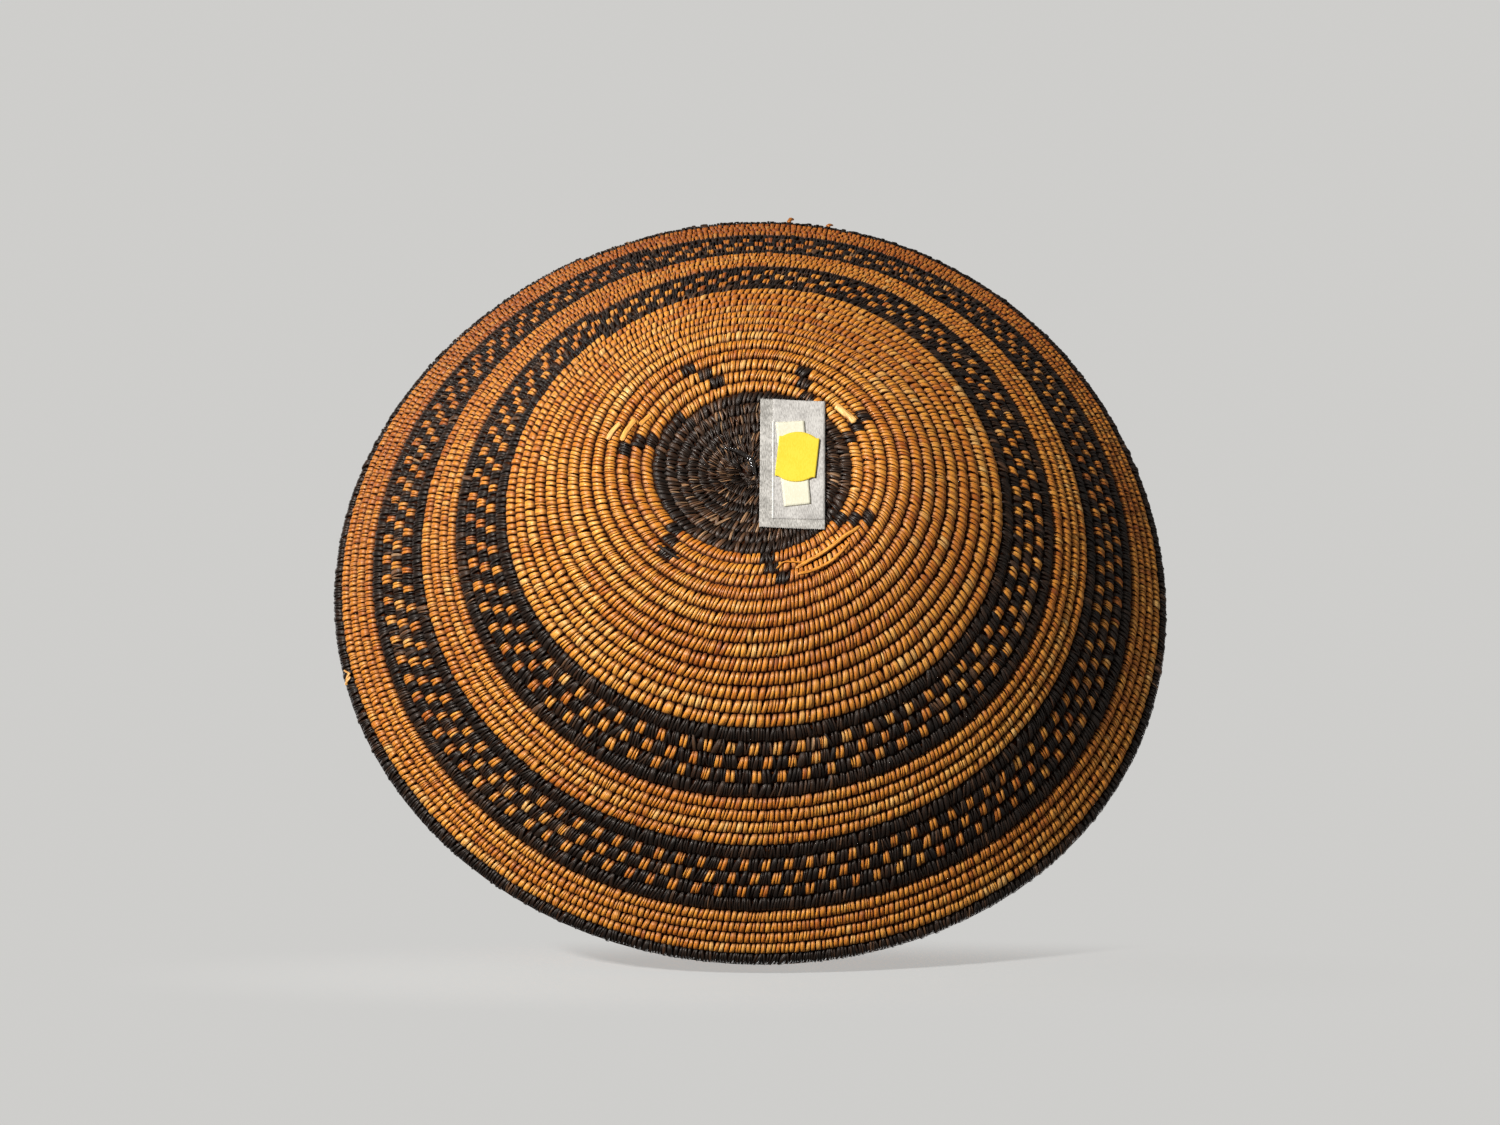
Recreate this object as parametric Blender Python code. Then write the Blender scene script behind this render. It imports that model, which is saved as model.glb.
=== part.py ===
"""Shallow coiled basket, standing on its base with its mouth up.

One long bundle of grass winds out from a knot in the middle of the base to the rim, sewn turn
to turn with flat strands. Each node is the knot, or one stretch of that coil sewn in one
colour, and the labels stuck under the base. Neighbouring turns meet in a groove on both faces,
so the wall is ribbed along a single spiral from the knot to the rim.

Metres, +Z up. A turn is counted from the knot, and a place along the coil is a whole number of
degrees wound, so turn 9 begins at degree 3240. The coil winds counter-clockwise seen from above.
"""
import math

import bmesh
import bpy
import numpy as np

# Spacing of the turns, measured along the wall
START_PITCH = 0.00394
BASE_PITCH = 0.00484
FIELD_PITCH = 0.00577
BAND_PITCH = 0.00579
MIDDLE_PITCH = 0.00551
UPPER_PITCH = 0.00541
RIM_PITCH = 0.00512
PITCH_AT_TURN = (
    (4.75, START_PITCH),
    (9.5, BASE_PITCH),
    (16.0, FIELD_PITCH),
    (25.0, BAND_PITCH),
    (29.5, MIDDLE_PITCH),
    (34.0, UPPER_PITCH),
    (39.5, RIM_PITCH),
)

# Slope of the wall in degrees: 0 is level, 90 upright, and below 0 the base is hollowed
SLOPE_AT_TURN = (
    (0.0, -6.0),
    (8.0, -6.0),
    (9.0, -9.0),
    (11.0, -10.0),
    (12.0, 0.0),
    (13.0, 10.0),
    (16.0, 30.0),
    (22.5, 40.5),
    (29.5, 43.5),
    (36.5, 45.0),
    (42.5, 44.5),
)

# The coil's section: crown to crown through the wall, and crown above groove
BASE_THICKNESS = 0.0048
WALL_THICKNESS = 0.0054
BASE_END_TURN = 9.0
WALL_START_TURN = 16.0
RIDGE_HEIGHT = 0.0018

# Clearance between neighbouring pieces, and the depth that the standing turns are worn flat
GAP = 0.0003
FLAT_DEPTH = 0.0004

# Hand work: an oval start that fades outwards, and a wall that swells to one side half way up
OVAL = 0.0024
OVAL_FULL_RADIUS = 0.010
OVAL_REACH = 0.048
SWELL = 0.0036
SWELL_RADIUS = 0.132
SWELL_REACH = 0.028

# Stretches of the coil: name, whole turn where it ends, degrees past that turn, finish
START_AZIMUTH = 40
TURN = 360
SEGMENT = 10
INNER_SEGMENT = 20
INNER_TURNS = 5
STRETCHES = (
    ("base_coil", 9, 5, "black"),
    ("field_coil", 22, 8, "straw"),
    ("lower_band_first_line", 23, 18, "black"),
    ("lower_band_checks", 26, 14, "checked"),
    ("lower_band_second_line", 27, 24, "black"),
    ("middle_coil", 31, 15, "straw"),
    ("upper_band_first_line", 32, 25, "black"),
    ("upper_band_checks", 35, 18, "checked"),
    ("upper_band_second_line", 36, 28, "black"),
    ("shoulder_coil", 40, 27, "straw"),
    ("rim_coil", 41, 2, "black"),
    ("rim_end", 41, 27, "black"),
)
RIM_END_WIDTH_SHARE = 0.3
RIM_TIP_SHARE = 0.10
RIM_GROOVE_SHARE = 0.18

# Spokes: three black blocks a turn apart, each a step back from the last. The azimuth is the
# outermost block's, and the turn is the innermost block's.
SPOKES = ((60, 10), (114, 9), (151, 9), (206, 9), (257, 9), (312, 9), (11, 9))
SPOKE_BLOCKS = 3
SPOKE_WIDTH = 7
SPOKE_STEP = 4

# Knot: its rings between the edge and the middle
KNOT_RING_SHARES = (0.62, 0.28)

# Labels under the base: middle, size and turn of each, and the thickness of its paper
LABEL_GAP = 0.0002
TISSUE_MIDDLE = (-0.0158, 0.0031)
TISSUE_SIZE = (0.0266, 0.0600)
TISSUE_THICKNESS = 0.0002
TAG_MIDDLE = (-0.0161, 0.0034)
TAG_SIZE = (0.0112, 0.0380)
TAG_TURN = -4.5
TAG_THICKNESS = 0.0002
STICKER_MIDDLE = (-0.0176, 0.0064)
STICKER_RADIUS = 0.0114
STICKER_SIZE = (0.0165, 0.0174)
STICKER_TURN = 3.8
STICKER_THICKNESS = 0.00015
STICKER_POINTS = 24
STICKER_RING_SHARES = (0.5, 1.0)
LABEL_CELL = 0.0065

CUTTER_DEPTH = 0.010
CUTTER_MARGIN = 0.020

FINISHES = {
    "black": ((0.020, 0.015, 0.012, 1.0), 0.55),
    "straw": ((0.56, 0.25, 0.065, 1.0), 0.50),
    "checked": ((0.22, 0.11, 0.040, 1.0), 0.55),
    "tissue": ((0.60, 0.59, 0.57, 1.0), 0.80),
    "card": ((0.85, 0.80, 0.62, 1.0), 0.75),
    "yellow": ((0.92, 0.72, 0.05, 1.0), 0.60),
}

LAST_DEGREE = STRETCHES[-1][1] * TURN + STRETCHES[-1][2]
TAPER_DEGREES = STRETCHES[-1][2] - STRETCHES[-2][2] + (STRETCHES[-1][1] - STRETCHES[-2][1]) * TURN
SAMPLES_PER_TURN = 40


def clear_scene():
    """Take every object out of the open file."""
    for thing in list(bpy.data.objects):
        bpy.data.objects.remove(thing, do_unlink=True)


def wall_curve():
    """Radius and height of the wall's outer face against turns, by adding up short steps."""
    last_turn = LAST_DEGREE / TURN + 2
    count = int(last_turn * SAMPLES_PER_TURN) + 1
    turns = np.linspace(0, last_turn, count)
    pitch = np.interp(turns, *zip(*PITCH_AT_TURN))
    slope = np.radians(np.interp(turns, *zip(*SLOPE_AT_TURN)))
    step = pitch * (turns[1] - turns[0])
    radius = np.concatenate(([0], np.cumsum((step * np.cos(slope))[1:])))
    height = np.concatenate(([0], np.cumsum((step * np.sin(slope))[1:])))
    return turns, radius, height


TURNS, RADII, HEIGHTS = wall_curve()


def at_turn(table, turn):
    """Value of a table of (turn, value) pairs at a turn."""
    return float(np.interp(turn, *zip(*table)))


def thickness(turn):
    """Crown to crown thickness of the coil at a turn."""
    table = ((BASE_END_TURN, BASE_THICKNESS), (WALL_START_TURN, WALL_THICKNESS))
    return at_turn(table, turn)


def section_point(turn, lift):
    """Radius and height of a point that stands off the wall's outer face by lift, outwards."""
    slope = math.radians(at_turn(SLOPE_AT_TURN, turn))
    radius = float(np.interp(turn, TURNS, RADII)) + lift * math.sin(slope)
    height = float(np.interp(turn, TURNS, HEIGHTS)) - lift * math.cos(slope)
    return radius, height


def lowest_crown():
    """Height of the lowest outer crown, before the standing turns are worn flat."""
    slopes = np.radians(np.interp(TURNS, *zip(*SLOPE_AT_TURN)))
    return float(np.min(HEIGHTS - RIDGE_HEIGHT / 2 * np.cos(slopes)))


FLOOR_LEVEL = lowest_crown() + FLAT_DEPTH


def handmade(radius, azimuth):
    """Plan position of a point on a true circle once the oval start and the swell are added."""
    oval = OVAL * math.exp(-radius / OVAL_REACH) * min(1, radius / OVAL_FULL_RADIUS)
    swell = SWELL * math.exp(-((radius - SWELL_RADIUS) / SWELL_REACH) ** 2)
    x = (radius + oval) * math.cos(azimuth) - swell
    y = (radius - oval) * math.sin(azimuth)
    return x, y


def line_turn(degree):
    """Turn number of the groove at a degree; the rim's free edge narrows to the coil's end."""
    turn = degree / TURN
    taper_start = LAST_DEGREE + TURN - TAPER_DEGREES
    if degree > taper_start:
        turn -= (degree - taper_start) / TAPER_DEGREES * (1 - RIM_END_WIDTH_SHARE)
    return turn


def rim_middle():
    """Middle of the rim's outline in plan, which becomes the origin."""
    outline = []
    for degree in range(LAST_DEGREE, LAST_DEGREE + TURN + 1):
        radius, _ = section_point(line_turn(degree) + RIM_TIP_SHARE, 0)
        azimuth = math.radians(START_AZIMUTH + degree)
        outline.append(handmade(radius, azimuth))
    outline = np.array(outline)
    return (outline.min(axis=0) + outline.max(axis=0)) / 2


MIDDLE = rim_middle()


def coil_point(degree, turn, lift, turn_shift=0.0, side_shift=0.0):
    """World position of a point of the coil, moved across and along it by the two shifts."""
    pitch = at_turn(PITCH_AT_TURN, turn)
    radius, height = section_point(turn + turn_shift / pitch, lift)
    along = side_shift / max(radius, GAP)
    x, y = handmade(radius, math.radians(START_AZIMUTH + degree) + along)
    return (x - MIDDLE[0], y - MIDDLE[1], height - FLOOR_LEVEL)


def spoke_blocks():
    """First and last degree of every spoke's blocks, and the number of the spoke."""
    blocks = []
    for number, (azimuth, first_turn) in enumerate(SPOKES, start=1):
        for block in range(SPOKE_BLOCKS):
            wound = (azimuth - START_AZIMUTH) % TURN
            middle = wound + (SPOKE_BLOCKS - 1 - block) * SPOKE_STEP
            first = (first_turn + block) * TURN + middle - SPOKE_WIDTH // 2
            blocks.append((first, first + SPOKE_WIDTH, number))
    return blocks


def coil_owners():
    """Name of the piece that each degree of the coil belongs to, from the end of the knot."""
    owners = [None] * (LAST_DEGREE + TURN * 2)
    begin = TURN
    for name, turn, extra, _ in STRETCHES:
        end = turn * TURN + extra
        for degree in range(begin, end):
            owners[degree] = name
        begin = end
    for first, last, number in spoke_blocks():
        for degree in range(first, last):
            owners[degree] = f"spoke_{number}"
    return owners


OWNERS = coil_owners()


def coil_stations():
    """Degrees where the coil is cut into segments: where a piece ends, and a step apart."""
    ends = [d for d in range(TURN, LAST_DEGREE + 1) if OWNERS[d] != OWNERS[d - 1]]
    clear = SEGMENT // 3
    regular = list(range(TURN, INNER_TURNS * TURN, INNER_SEGMENT))
    regular += list(range(INNER_TURNS * TURN, LAST_DEGREE + 1, SEGMENT))
    kept = [d for d in regular if all(abs(d - end) > clear for end in ends)]
    return sorted(set(ends + kept))


STATIONS = coil_stations()
GROOVE_POINTS = sorted(set(STATIONS) | {station + TURN for station in STATIONS})


def groove_points(first, last):
    """Degrees of the groove's points from first to last, both included."""
    return [degree for degree in GROOVE_POINTS if first <= degree <= last]


class CoilPiece:
    """Closed solid of all the coil segments that belong to one piece."""

    def __init__(self, name):
        self.name = name
        self.points = []
        self.index = {}
        self.faces = []

    def owns(self, degree):
        """True where the coil at this degree is part of the piece."""
        return OWNERS[degree] == self.name

    def corner(self, kind, degree):
        """Index of a point on a groove or a crown, drawn back from neighbouring pieces."""
        key = (kind, degree)
        if key not in self.index:
            self.index[key] = len(self.points)
            self.points.append(self.place(kind, degree))
        return self.index[key]

    def place(self, kind, degree):
        """Position of a point: kind is the face, outer or inner, and groove, crown or tip."""
        face, spot = kind.split("_")
        if spot == "crown":
            return self.crown_point(face, degree)
        return self.groove_point(face, spot, degree)

    def crown_point(self, face, degree):
        """Point on the ridge of the turn that begins at this degree's inner groove."""
        inner_turn = line_turn(degree)
        outer_turn = line_turn(degree + TURN)
        turn = (inner_turn + outer_turn) / 2
        full = outer_turn - inner_turn
        depth = thickness(turn) * (1 + full) / 2
        lift = RIDGE_HEIGHT / 2
        if face == "inner":
            lift -= depth
        side = np.sign(int(self.owns(degree)) - int(self.owns(degree - 1)))
        return coil_point(degree, turn, lift, 0.0, side * GAP / 2)

    def groove_point(self, face, spot, degree):
        """Point in the groove, or on the tip of the rim's free edge."""
        after_out = int(self.owns(degree))
        before_out = int(self.owns(degree - 1))
        after_in = int(self.owns(degree - TURN))
        before_in = int(self.owns(degree - TURN - 1))
        turn = line_turn(degree)
        across = np.sign(after_out + before_out - after_in - before_in) * GAP / 2
        along = np.sign(after_out + after_in - before_out - before_in) * GAP / 2
        depth = thickness(turn)
        lift = -RIDGE_HEIGHT / 2
        if face == "inner":
            lift = RIDGE_HEIGHT * 3 / 2 - depth
        if self.free_edge(degree) and spot == "groove":
            turn -= RIM_GROOVE_SHARE
        if spot == "tip":
            turn += RIM_TIP_SHARE
            lift = (RIDGE_HEIGHT - depth) / 2
        return coil_point(degree, turn, lift, across, along)

    def free_edge(self, degree):
        """True where no turn lies outside this groove, along the rim."""
        at_coil_end = degree == LAST_DEGREE and self.owns(degree - TURN)
        return degree > LAST_DEGREE or at_coil_end

    def add_segment(self, first, last):
        """Both faces of one segment, and its walls towards other pieces."""
        inside = groove_points(first, last)
        outside = groove_points(first + TURN, last + TURN)
        for face in ("outer", "inner"):
            groove = face + "_groove"
            crown = face + "_crown"
            near = [self.corner(groove, degree) for degree in inside]
            near += [self.corner(crown, last), self.corner(crown, first)]
            far = [self.corner(crown, first), self.corner(crown, last)]
            far += [self.corner(groove, degree) for degree in reversed(outside)]
            self.faces.append(near)
            self.faces.append(far)
        self.add_walls(inside, -TURN)
        self.add_walls(outside, 0)
        if not self.owns(first - 1):
            self.add_cap(first)
        if not self.owns(last):
            self.add_cap(last)

    def add_walls(self, line, neighbour):
        """Walls along a groove wherever the turn on its other side is another piece."""
        for first, last in zip(line, line[1:]):
            if self.owns(first + neighbour):
                continue
            outer = [self.corner("outer_groove", first), self.corner("outer_groove", last)]
            inner = [self.corner("inner_groove", first), self.corner("inner_groove", last)]
            if neighbour == 0 and self.free_edge(first):
                tip = [self.corner("both_tip", first), self.corner("both_tip", last)]
                self.faces.append([outer[0], outer[1], tip[1], tip[0]])
                self.faces.append([tip[0], tip[1], inner[1], inner[0]])
            else:
                self.faces.append([outer[0], outer[1], inner[1], inner[0]])

    def add_cap(self, degree):
        """Cut end of the coil across one turn."""
        cap = [self.corner("outer_groove", degree), self.corner("outer_crown", degree)]
        cap.append(self.corner("outer_groove", degree + TURN))
        if self.free_edge(degree + TURN):
            cap.append(self.corner("both_tip", degree + TURN))
        cap.append(self.corner("inner_groove", degree + TURN))
        cap += [self.corner("inner_crown", degree), self.corner("inner_groove", degree)]
        self.faces.append(cap)

    def build(self):
        """Collect the piece's segments and make its object."""
        for first, last in zip(STATIONS, STATIONS[1:]):
            if self.owns(first):
                self.add_segment(first, last)
        return make_object(self.name, self.points, self.faces)


def make_object(name, points, faces):
    """Object of one closed mesh, with its faces turned out and its sharp edges kept."""
    mesh = bpy.data.meshes.new(name)
    mesh.from_pydata(points, [], faces)
    shell = bmesh.new()
    shell.from_mesh(mesh)
    bmesh.ops.recalc_face_normals(shell, faces=shell.faces)
    shell.to_mesh(mesh)
    shell.free()
    mesh.shade_smooth()
    mesh.set_sharp_from_angle(angle=math.radians(35))
    thing = bpy.data.objects.new(name, mesh)
    bpy.context.scene.collection.objects.link(thing)
    return thing


def give_finish(thing, finish):
    """Material of its own for a piece, in one of the named finishes."""
    colour, roughness = FINISHES[finish]
    material = bpy.data.materials.new(thing.name + "_finish")
    material.use_nodes = True
    shader = material.node_tree.nodes["Principled BSDF"]
    shader.inputs["Base Color"].default_value = colour
    shader.inputs["Roughness"].default_value = roughness
    shader.inputs["Metallic"].default_value = 0.0
    thing.data.materials.append(material)


def knot_ring(face, share):
    """Ring of the knot's outline drawn in to a share of its radius, on one face."""
    ring = []
    for degree in groove_points(TURN, 2 * TURN):
        turn = line_turn(degree) * share
        edge = GAP / 2 if share == 1 else 0.0
        lift = -RIDGE_HEIGHT / 2 if share == 1 else RIDGE_HEIGHT / 2
        if face == "inner":
            depth = thickness(turn)
            lift = RIDGE_HEIGHT * 3 / 2 - depth if share == 1 else RIDGE_HEIGHT / 2 - depth
        ends = degree in (TURN, 2 * TURN)
        ring.append(coil_point(degree, turn, lift, -edge, -edge if ends else 0.0))
    return ring


def build_knot():
    """Start knot: a low button that fills the first turn of the spiral."""
    points = []
    faces = []
    rings = []
    for face in ("outer", "inner"):
        for share in (1,) + KNOT_RING_SHARES:
            ring = knot_ring(face, share)
            rings.append(range(len(points), len(points) + len(ring)))
            points += ring
    per_face = len(rings) // 2
    count = len(rings[0])
    for face in range(2):
        for inner in range(1, per_face):
            big = rings[face * per_face + inner - 1]
            small = rings[face * per_face + inner]
            for k in range(count):
                nxt = (k + 1) % count
                faces.append([big[k], big[nxt], small[nxt], small[k]])
        faces.append(list(rings[face * per_face + per_face - 1]))
    for k in range(count):
        nxt = (k + 1) % count
        faces.append([rings[0][k], rings[0][nxt], rings[per_face][nxt], rings[per_face][k]])
    return make_object("start_knot", points, faces)


def underside(x, y):
    """Height of the plane that touches the base's crowns from below, at a plan position."""
    plan_x = x + MIDDLE[0]
    plan_y = y + MIDDLE[1]
    radius = math.hypot(plan_x, plan_y)
    azimuth = math.atan2(plan_y, plan_x)
    oval = OVAL * math.exp(-radius / OVAL_REACH) * min(1, radius / OVAL_FULL_RADIUS)
    turn = float(np.interp(radius - oval * math.cos(2 * azimuth), RADII, TURNS))
    _, height = section_point(turn, RIDGE_HEIGHT / 2)
    return height - FLOOR_LEVEL


def turned(point, middle, degrees):
    """Plan position of a point of a label that is turned about its middle."""
    angle = math.radians(degrees)
    x = point[0] * math.cos(angle) - point[1] * math.sin(angle)
    y = point[0] * math.sin(angle) + point[1] * math.cos(angle)
    return middle[0] + x - MIDDLE[0], middle[1] + y - MIDDLE[1]


def sheet_object(name, plan, faces, border, drop, paper):
    """Thin closed sheet that follows the base's underside at a drop below its crowns."""
    count = len(plan)
    points = [(x, y, underside(x, y) - drop) for x, y in plan]
    points += [(x, y, z - paper) for x, y, z in points]
    solid = [list(face) for face in faces]
    solid += [[corner + count for corner in reversed(face)] for face in faces]
    for first, last in zip(border, border[1:] + border[:1]):
        solid.append([first, last, last + count, first + count])
    return make_object(name, points, solid)


def label_rectangle(name, middle, size, degrees, drop, paper):
    """Rectangular label on a grid of cells small enough to follow the hollow base."""
    columns = max(2, round(size[0] / LABEL_CELL))
    rows = max(2, round(size[1] / LABEL_CELL))
    plan = []
    for row in range(rows + 1):
        for column in range(columns + 1):
            across = (column / columns - 0.5) * size[0]
            up = (row / rows - 0.5) * size[1]
            plan.append(turned((across, up), middle, degrees))
    width = columns + 1
    faces = []
    for row in range(rows):
        for column in range(columns):
            corner = row * width + column
            faces.append((corner, corner + 1, corner + width + 1, corner + width))
    border = [column for column in range(columns)]
    border += [row * width + columns for row in range(rows)]
    border += [rows * width + columns - column for column in range(columns)]
    border += [(rows - row) * width for row in range(rows)]
    return sheet_object(name, plan, faces, border, drop, paper)


def sticker_reach(angle):
    """Distance from the sticker's middle to its edge in one direction.

    The outline is a rectangle laid over a disc whose two sides are cut straight at the
    rectangle's width, so the reach is the larger of the two shapes' reaches.
    """
    side = abs(math.cos(angle)) / (STICKER_SIZE[0] / 2)
    end = abs(math.sin(angle)) / (STICKER_SIZE[1] / 2)
    disc = 1 / STICKER_RADIUS
    return 1 / min(max(side, end), max(side, disc))


def label_sticker(name, middle, degrees, drop, paper):
    """Sticker as rings of points around its middle, out to its edge."""
    count = STICKER_POINTS
    plan = [turned((0.0, 0.0), middle, degrees)]
    for share in STICKER_RING_SHARES:
        for k in range(count):
            angle = 2 * math.pi * k / count
            reach = sticker_reach(angle) * share
            point = (reach * math.cos(angle), reach * math.sin(angle))
            plan.append(turned(point, middle, degrees))
    faces = []
    for k in range(count):
        nxt = (k + 1) % count
        faces.append((0, 1 + k, 1 + nxt))
        faces.append((1 + k, 1 + count + k, 1 + count + nxt, 1 + nxt))
    border = [1 + count + k for k in range(count)]
    return sheet_object(name, plan, faces, border, drop, paper)


def build_labels():
    """Tissue, card tag and sticker, each a clear step below the last."""
    drop = LABEL_GAP
    tissue = label_rectangle(
        "tissue_label", TISSUE_MIDDLE, TISSUE_SIZE, 0.0, drop, TISSUE_THICKNESS)
    drop += TISSUE_THICKNESS + LABEL_GAP
    tag = label_rectangle("paper_tag", TAG_MIDDLE, TAG_SIZE, TAG_TURN, drop, TAG_THICKNESS)
    drop += TAG_THICKNESS + LABEL_GAP
    sticker = label_sticker(
        "round_sticker", STICKER_MIDDLE, STICKER_TURN, drop, STICKER_THICKNESS)
    give_finish(tissue, "tissue")
    give_finish(tag, "card")
    give_finish(sticker, "yellow")


def table_cutter():
    """Block below the floor level that wears the standing turns flat."""
    reach = RADII[-1] + CUTTER_MARGIN
    corners = []
    for z in (-CUTTER_DEPTH, 0.0):
        for x, y in ((-reach, -reach), (reach, -reach), (reach, reach), (-reach, reach)):
            corners.append((x, y, z))
    sides = [(0, 3, 2, 1), (4, 5, 6, 7), (0, 1, 5, 4), (1, 2, 6, 5), (2, 3, 7, 6), (3, 0, 4, 7)]
    mesh = bpy.data.meshes.new("table_cutter")
    mesh.from_pydata(corners, [], sides)
    cutter = bpy.data.objects.new("table_cutter", mesh)
    cutter.hide_render = True
    cutter.display_type = "WIRE"
    bpy.context.scene.collection.objects.link(cutter)
    return cutter


def wear_flat(thing, cutter):
    """Cut a piece off at the floor level where any of it reaches lower."""
    if min(vertex.co.z for vertex in thing.data.vertices) < 0:
        cut = thing.modifiers.new("standing_face", "BOOLEAN")
        cut.operation = "DIFFERENCE"
        cut.solver = "EXACT"
        cut.object = cutter


def main():
    """Build the knot, every stretch of the coil, the spokes and the labels."""
    clear_scene()
    cutter = table_cutter()
    finishes = {name: finish for name, _, _, finish in STRETCHES}
    for number in range(1, len(SPOKES) + 1):
        finishes[f"spoke_{number}"] = "black"
    knot = build_knot()
    give_finish(knot, "black")
    for name, finish in finishes.items():
        thing = CoilPiece(name).build()
        give_finish(thing, finish)
        wear_flat(thing, cutter)
    build_labels()


main()
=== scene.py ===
# %% [markdown]
# # A coiled basket bowl, stitch by stitch
#
# This bowl is one long rope of grass, wound in a spiral from a knot in the middle of its base
# out to the rim. A flat strand of plant fibre wraps round the rope more than ten thousand
# times, and each wrap also bites into the turn before it, so the spiral holds as a wall.
# Straw-coloured and black strands make the pattern: a dark base, seven little spokes, and two
# bands of checks between black lines.
#
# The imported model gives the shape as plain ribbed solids. Here every stitch becomes real
# geometry, laid out with numpy on the same spiral, and the wall's colours come from which
# stitch is where, not from a picture.

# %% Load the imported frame
import math

import bpy
import numpy as np
from mathutils import Matrix, Vector


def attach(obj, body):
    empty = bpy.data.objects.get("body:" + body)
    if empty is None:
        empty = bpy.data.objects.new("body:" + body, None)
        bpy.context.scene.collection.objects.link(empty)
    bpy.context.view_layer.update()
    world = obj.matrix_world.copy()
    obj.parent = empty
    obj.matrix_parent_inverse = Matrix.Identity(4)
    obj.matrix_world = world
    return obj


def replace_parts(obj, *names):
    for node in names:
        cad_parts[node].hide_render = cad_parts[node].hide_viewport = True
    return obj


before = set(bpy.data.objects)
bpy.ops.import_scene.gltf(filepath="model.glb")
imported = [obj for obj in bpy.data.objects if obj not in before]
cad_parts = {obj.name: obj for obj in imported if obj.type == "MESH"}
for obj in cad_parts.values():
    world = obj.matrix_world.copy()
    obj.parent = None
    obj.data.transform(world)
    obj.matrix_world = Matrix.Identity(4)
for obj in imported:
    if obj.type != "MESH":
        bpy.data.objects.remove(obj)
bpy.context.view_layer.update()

MILLIMETRE = 0.001
print("nodes in the frame:", len(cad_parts))

# %% [markdown]
# ## The wall's outline
#
# A coiled wall is easiest to describe by turns. At each turn the maker chooses two things: how
# far the next turn stands from the last (the pitch, which is the rope's thickness), and how
# steeply the wall climbs there (the slope). Adding up short steps of pitch along the slope gives
# the outline, in the same way as walking a path from a list of headings.

# %% Pitch and slope of the wall, turn by turn
PITCH_AT_TURN = np.array([
    (4.75, 0.00394), (9.5, 0.00484), (16.0, 0.00577), (25.0, 0.00579),
    (29.5, 0.00551), (34.0, 0.00541), (39.5, 0.00512),
])
SLOPE_AT_TURN = np.array([
    (0.0, -6.0), (8.0, -6.0), (9.0, -9.0), (11.0, -10.0), (12.0, 0.0), (13.0, 10.0),
    (16.0, 30.0), (22.5, 40.5), (29.5, 43.5), (36.5, 45.0), (42.5, 44.5),
])
THICKNESS_AT_TURN = np.array([(9.0, 0.0048), (16.0, 0.0054)])
TURN = 360
START_AZIMUTH = 40
LAST_DEGREE = 41 * TURN + 27
TAPER_DEGREES = 25
RIM_END_WIDTH_SHARE = 0.3
MIDDLE = (0.00070, -0.00091)
FLOOR_LEVEL = -0.00657


def look_up(table, turn):
    """Value of a (turn, value) table at each turn, straight between its rows."""
    return np.interp(turn, table[:, 0], table[:, 1])


TURNS = np.linspace(0, 44, 44 * 40 + 1)
STEP = look_up(PITCH_AT_TURN, TURNS) * (TURNS[1] - TURNS[0])
HEADING = np.radians(look_up(SLOPE_AT_TURN, TURNS))
RADII = np.concatenate(([0], np.cumsum((STEP * np.cos(HEADING))[1:])))
HEIGHTS = np.concatenate(([0], np.cumsum((STEP * np.sin(HEADING))[1:])))
print(f"rim radius {np.interp(41, TURNS, RADII):.4f} m")

# %% [markdown]
# Hand work is never a true circle. The first turns are a little oval, which fades outwards, and
# half way up the wall swells to one side. Here and there the turns also crowd together or
# spread, because the rope of grass is thinner or thicker there. All of it is small sums added
# to the place, so that one function places any point of the coil: a groove, a stitch or a
# strand of grass.

# %% From turn, lift and azimuth to a place in space
OVAL = 0.0024
OVAL_FULL_RADIUS = 0.010
OVAL_REACH = 0.048
SWELL = 0.0036
SWELL_RADIUS = 0.132
SWELL_REACH = 0.028
OFFSET = (-0.0012, 0.0019)
OFFSET_REACH = 0.065
CROWN_LIFT = 0.0009
WAVES_AT_TURN = np.array([
    (17.0, 0.0, 0.0, 0.0, 0.0, 0.0, 0.0),
    (22.5, -0.5, -0.9, -1.0, -0.6, 1.3, 0.4),
    (27.5, 0.5, 2.3, -1.0, -0.1, 1.6, 0.8),
    (31.5, -1.7, 3.0, -1.6, 0.6, 1.3, 0.8),
    (36.5, 1.9, 0.4, -0.8, 0.2, 2.5, 1.2),
    (40.5, -0.2, 0.4, -1.7, 1.2, 3.1, 1.3),
    (42.5, 0.1, -0.3, -1.5, 0.1, 3.9, 1.1),
])
WAVE_PEAKS = {2: 42, 3: -14, 4: 20}


def spread_along(turn, azimuth):
    """Distance that a ring of the wall is moved up its slope, where the maker's hand wandered.

    Each row of the table gives a turn and six heights in millimetres: of the whole ring, of its
    +x side (times the cosine of the azimuth), of its +y side (times the sine), and of two, three
    and four waves round the ring, each the cosine of so many times the azimuth past its peak.
    """
    rows, *columns = WAVES_AT_TURN.T
    whole, to_x, to_y, *waves = (np.interp(turn, rows, column) for column in columns)
    spread = whole + to_x * np.cos(azimuth) + to_y * np.sin(azimuth)
    for height, (number, peak) in zip(waves, WAVE_PEAKS.items()):
        spread = spread + height * np.cos(number * (azimuth - math.radians(peak)))
    return MILLIMETRE * spread


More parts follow.
